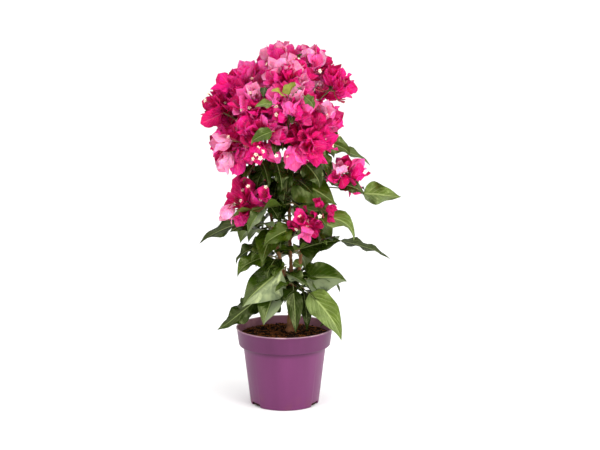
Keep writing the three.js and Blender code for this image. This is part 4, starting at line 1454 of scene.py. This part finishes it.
def bract_sheet(spray, turn, look, draw):
    """One bract of a spray: its places and where they lie on its own map"""
    vary, axis, out = BRACT["vary"], spray["axis"], around_axis(spray["axis"], turn)
    long = spray["bract"] * (1 + around(draw, vary["long"]))
    root_turn = look.open_root + math.radians(around(draw, vary["root"]))
    tip_turn = look.open_tip + math.radians(around(draw, vary["tip"]))
    rows, columns, half, wave = blade_layout(BRACT, long * look.width / 2, draw)
    bend = root_turn + (tip_turn - root_turn) * rows
    rise, run = run_and_fall(bend, long / BRACT["rows"])
    spots = spray["at"] + axis * rise[:, None] + out * (run[:, None] + BRACT["apart"])
    edge = np.abs(columns)
    cup = look.cup * (1 + around(draw, vary["cup"]))
    ripple = look.wave * (1 + around(draw, vary["wave"]))
    lift = cup * half * edge**2 + ripple * half * wave * edge**1.5
    roll = -math.radians(around(draw, vary["roll"])) * rows[:, None]
    grid = blade(spots, bend, lift, half * columns, roll, (axis, -out, np.cross(axis, out)))
    return grid, blade_map((columns + 1) / 2, rows)


class BUSH_OT_bracts(bpy.types.Operator):
    """Grow the bracts in threes, their pinks dealt out by spray, deeper where shade is painted and paler
    where light is painted
    """

    bl_idname = "bush.bracts"
    bl_label = "Bracts"

    # How strongly each tint is washed with paler pink
    TINTS = {"crimson": 0.05, "magenta": 0.1, "rose": 0.26, "pink": 0.42, "blush": 0.46}

    def execute(self, context):
        look = context.scene.bush_blossom
        batches = {tint: Batch() for tint in self.TINTS}
        for spray, draw in all_sprays(look.side_sprays):
            tint = spray["tint"] or self.dealt(spray["at"], draw)
            for k in range(SPRAY["bracts"]):
                turn = math.radians(spray["spin"] + THIRD * k + around(draw, SPRAY["bract_turn"]))
                batches[tint].patch(*bract_sheet(spray, turn, look, draw))
        nodes = [f"bloom_{row['name']}" for row in BLOOMS]
        for tint, batch in batches.items():
            material = bract_finish(f"{tint} bract", getattr(look, tint), self.TINTS[tint])
            batch.piece(f"bracts_{tint}", material, "bract", nodes)
        return {"FINISHED"}

    def dealt(self, at, draw):
        """The tint dealt to a spray, by the painted light and shade at its place and by chance"""
        light = painted_lightness(at) + around(draw, PAINTED_LIGHT["chance"])
        tints = tuple(self.TINTS)
        return tints[min(len(tints) - 1, max(0, int(light * len(tints))))]


class BUSH_OT_flowers(bpy.types.Operator):
    """Grow the three small flowers of each spray, open ones with a cream star"""

    bl_idname = "bush.flowers"
    bl_label = "Flowers"

    SHARES = (0, 0.12, 0.45, 0.8, 0.97, 1)
    OPEN_TUBE, SHUT_TUBE = (0.7, 1.25, 1.0, 1.35, 1.5, 1.45), (0.7, 1.2, 0.95, 1.3, 0.9, 0.25)
    STAR_TUBE = (20, 16, 9, 3, 1, 0.3)  # how far behind its star the rings of an open flower's tube lie
    LEAN, BOW, ROOT, VARY, SIDES = (0.22, 0.12), 0.8, 1.2, 0.15, 6
    LOBES, STAR, STAR_VARY, STAR_AHEAD = 5, 4.2, 0.12, 0.3
    STAR_RINGS = ((0.16, -0.4, 0.95), (0.36, 0.0, 0.95), (1.0, 0.5, 0.62))  # share of its size, lift, notches

    def execute(self, context):
        look = context.scene.bush_blossom
        tubes, stars = Batch(), Batch()
        for index, (spray, _) in enumerate(all_sprays(look.side_sprays)):
            draw = seeded(SEEDS["tint"] + index)
            for k in range(SPRAY["bracts"]):
                turn = math.radians(spray["spin"] + THIRD * k + around(draw, SPRAY["flower_turn"]))
                out = around_axis(spray["axis"], turn)
                way = unit(spray["axis"] + out * (self.LEAN[0] + around(draw, self.LEAN[1])))
                foot = spray["at"] + out * self.ROOT
                long = spray["bract"] * look.tube * (1 + around(draw, self.VARY))
                is_open = draw() < look.in_flower
                spots = [foot + way * long * s + out * self.BOW * s * s for s in self.SHARES]
                tubes.tube(spots, self.OPEN_TUBE if is_open else self.SHUT_TUBE, self.SIDES)
                if is_open:
                    self.star(stars, foot + way * (long + self.STAR_AHEAD) + out * self.BOW, way, draw)
        draw = seeded(SEEDS["star"])
        for x, y, z, azimuth, rise in STARS:
            at, way = np.array((x, y, z), float), heading(azimuth, rise)
            tubes.tube([at - way * back for back in self.STAR_TUBE], self.OPEN_TUBE, self.SIDES)
            self.star(stars, at, way, draw)
        tubes.piece("flower_tubes", flower_finish("flower tube", look.tubes, srgb(0xA8324E)), "bract")
        stars.piece("flower_stars", flower_finish("flower star", look.cream, srgb(0xF3E6C0)), "bract")
        return {"FINISHED"}

    def star(self, batch, at, way, draw):
        """A star of blunt lobes round the throat"""
        u, v = square(way)
        corners = np.arange(2 * self.LOBES)
        turns = corners * math.tau / len(corners) + draw() * math.tau
        size = self.STAR * (1 + around(draw, self.STAR_VARY))
        ways = u * np.cos(turns)[:, None] + v * np.sin(turns)[:, None]
        rings = []
        for ring, lift, notch in self.STAR_RINGS:
            radii = size * ring * np.where(corners % 2 == 0, 1, notch)
            rings.append(at + ways * radii[:, None] + way * lift)
        batch.patch(np.array(rings), np.zeros((len(rings), len(corners), 2)), closed=True)


class BUSH_OT_stage(bpy.types.Operator):
    """Set up the plain pale floor, the soft studio light and the camera"""

    bl_idname = "bush.stage"
    bl_label = "Studio"

    SKY_AT, SKY_TILT, SKY_SPREAD = (0, 0, 3), (8, 5, 0), 110
    AIM, SENSOR, FLOOR_SIDES = (0, 0, 0.35), 36, 96

    def execute(self, context):
        studio = context.scene.bush_studio
        self.floor(studio)
        for name, (at, size) in LIGHTS.items():
            self.light(name, at, size, getattr(studio, name))
        deselect()
        tilt = [math.radians(turn) for turn in self.SKY_TILT]
        bpy.ops.object.light_add(type="SUN", location=self.SKY_AT, rotation=tilt)
        sky = bpy.context.object
        sky.name = "overhead_light"
        sky.data.energy = studio.overhead
        sky.data.angle = math.radians(self.SKY_SPREAD)
        self.world(context.scene, studio)
        rotation = (math.radians(90 - CAMERA_PITCH), 0, 0)
        bpy.ops.object.camera_add(location=CAMERA_AT, rotation=rotation)
        camera = bpy.context.object
        camera.data.lens = studio.lens
        camera.data.sensor_width = self.SENSOR
        context.scene.camera = camera
        context.scene.view_settings.view_transform = "Standard"
        return {"FINISHED"}

    def floor(self, studio):
        """A wide round floor under the pot"""
        deselect()
        bpy.ops.mesh.primitive_circle_add(vertices=self.FLOOR_SIDES, radius=studio.floor, fill_type="NGON")
        floor = bpy.context.object
        floor.name = "floor"
        bpy.ops.object.mode_set(mode="EDIT")
        bpy.ops.mesh.select_all(action="SELECT")
        bpy.ops.mesh.inset(thickness=studio.floor / 2)
        bpy.ops.object.mode_set(mode="OBJECT")
        floor.data.materials.append(floor_finish(studio))

    @staticmethod
    def world(scene, studio):
        """Even light from all round, and a white background behind the floor"""
        scene.world = bpy.data.worlds.new("studio")
        scene.world.use_nodes = True
        nodes = Nodes(scene.world.node_tree)
        background = nodes.tree.nodes["Background"].inputs
        seen = nodes.add("LightPath", out="Is Camera Ray")
        nodes.feed(background["Color"], (1, 1, 1, 1))
        nodes.feed(background["Strength"], nodes.spread(seen, 0.0, 1.0, studio.world, 1.0))

    def light(self, name, at, size, watts):
        """A square soft light that faces the bush"""
        deselect()
        aim = (Vector(self.AIM) - Vector(at)).to_track_quat("-Z", "Y").to_euler()
        bpy.ops.object.light_add(type="AREA", location=at, rotation=aim)
        lamp = bpy.context.object
        lamp.name = f"{name}_light"
        lamp.data.size = size
        lamp.data.energy = watts


class BUSH_PT_panel(bpy.types.Panel):
    """The bush's sizes, colours and pieces in the sidebar"""

    bl_idname = "BUSH_PT_panel"
    bl_label = "Bougainvillea bush"
    bl_space_type = "VIEW_3D"
    bl_region_type = "UI"
    bl_category = "Bush"

    def draw(self, context):
        layout = self.layout
        for label, settings in GROUPS.items():
            box = layout.box()
            for key in settings.__annotations__:
                box.prop(getattr(context.scene, label), key)
        for operator in OPERATORS:
            layout.operator(operator.bl_idname)


OPERATORS = (
    BUSH_OT_stage,
    BUSH_OT_pot,
    BUSH_OT_soil,
    BUSH_OT_limbs,
    BUSH_OT_twigs,
    BUSH_OT_leaves,
    BUSH_OT_bracts,
    BUSH_OT_flowers,
)
CLASSES = (*GROUPS.values(), *OPERATORS, BUSH_PT_panel)


def register():
    for cls in CLASSES:
        bpy.utils.register_class(cls)
    for label, settings in GROUPS.items():
        setattr(bpy.types.Scene, label, PointerProperty(type=settings))


def unregister():
    for label in GROUPS:
        delattr(bpy.types.Scene, label)
    for cls in reversed(CLASSES):
        bpy.utils.unregister_class(cls)


def main():
    """Builds the shared looks, then every piece in order"""
    register()
    build_mottling()
    build_grain()
    build_veins()
    build_streaks()
    bpy.ops.bush.stage()
    bpy.ops.bush.pot()
    bpy.ops.bush.soil()
    bpy.ops.bush.limbs()
    bpy.ops.bush.twigs()
    bpy.ops.bush.leaves()
    bpy.ops.bush.bracts()
    bpy.ops.bush.flowers()


if __name__ == "__main__":
    main()
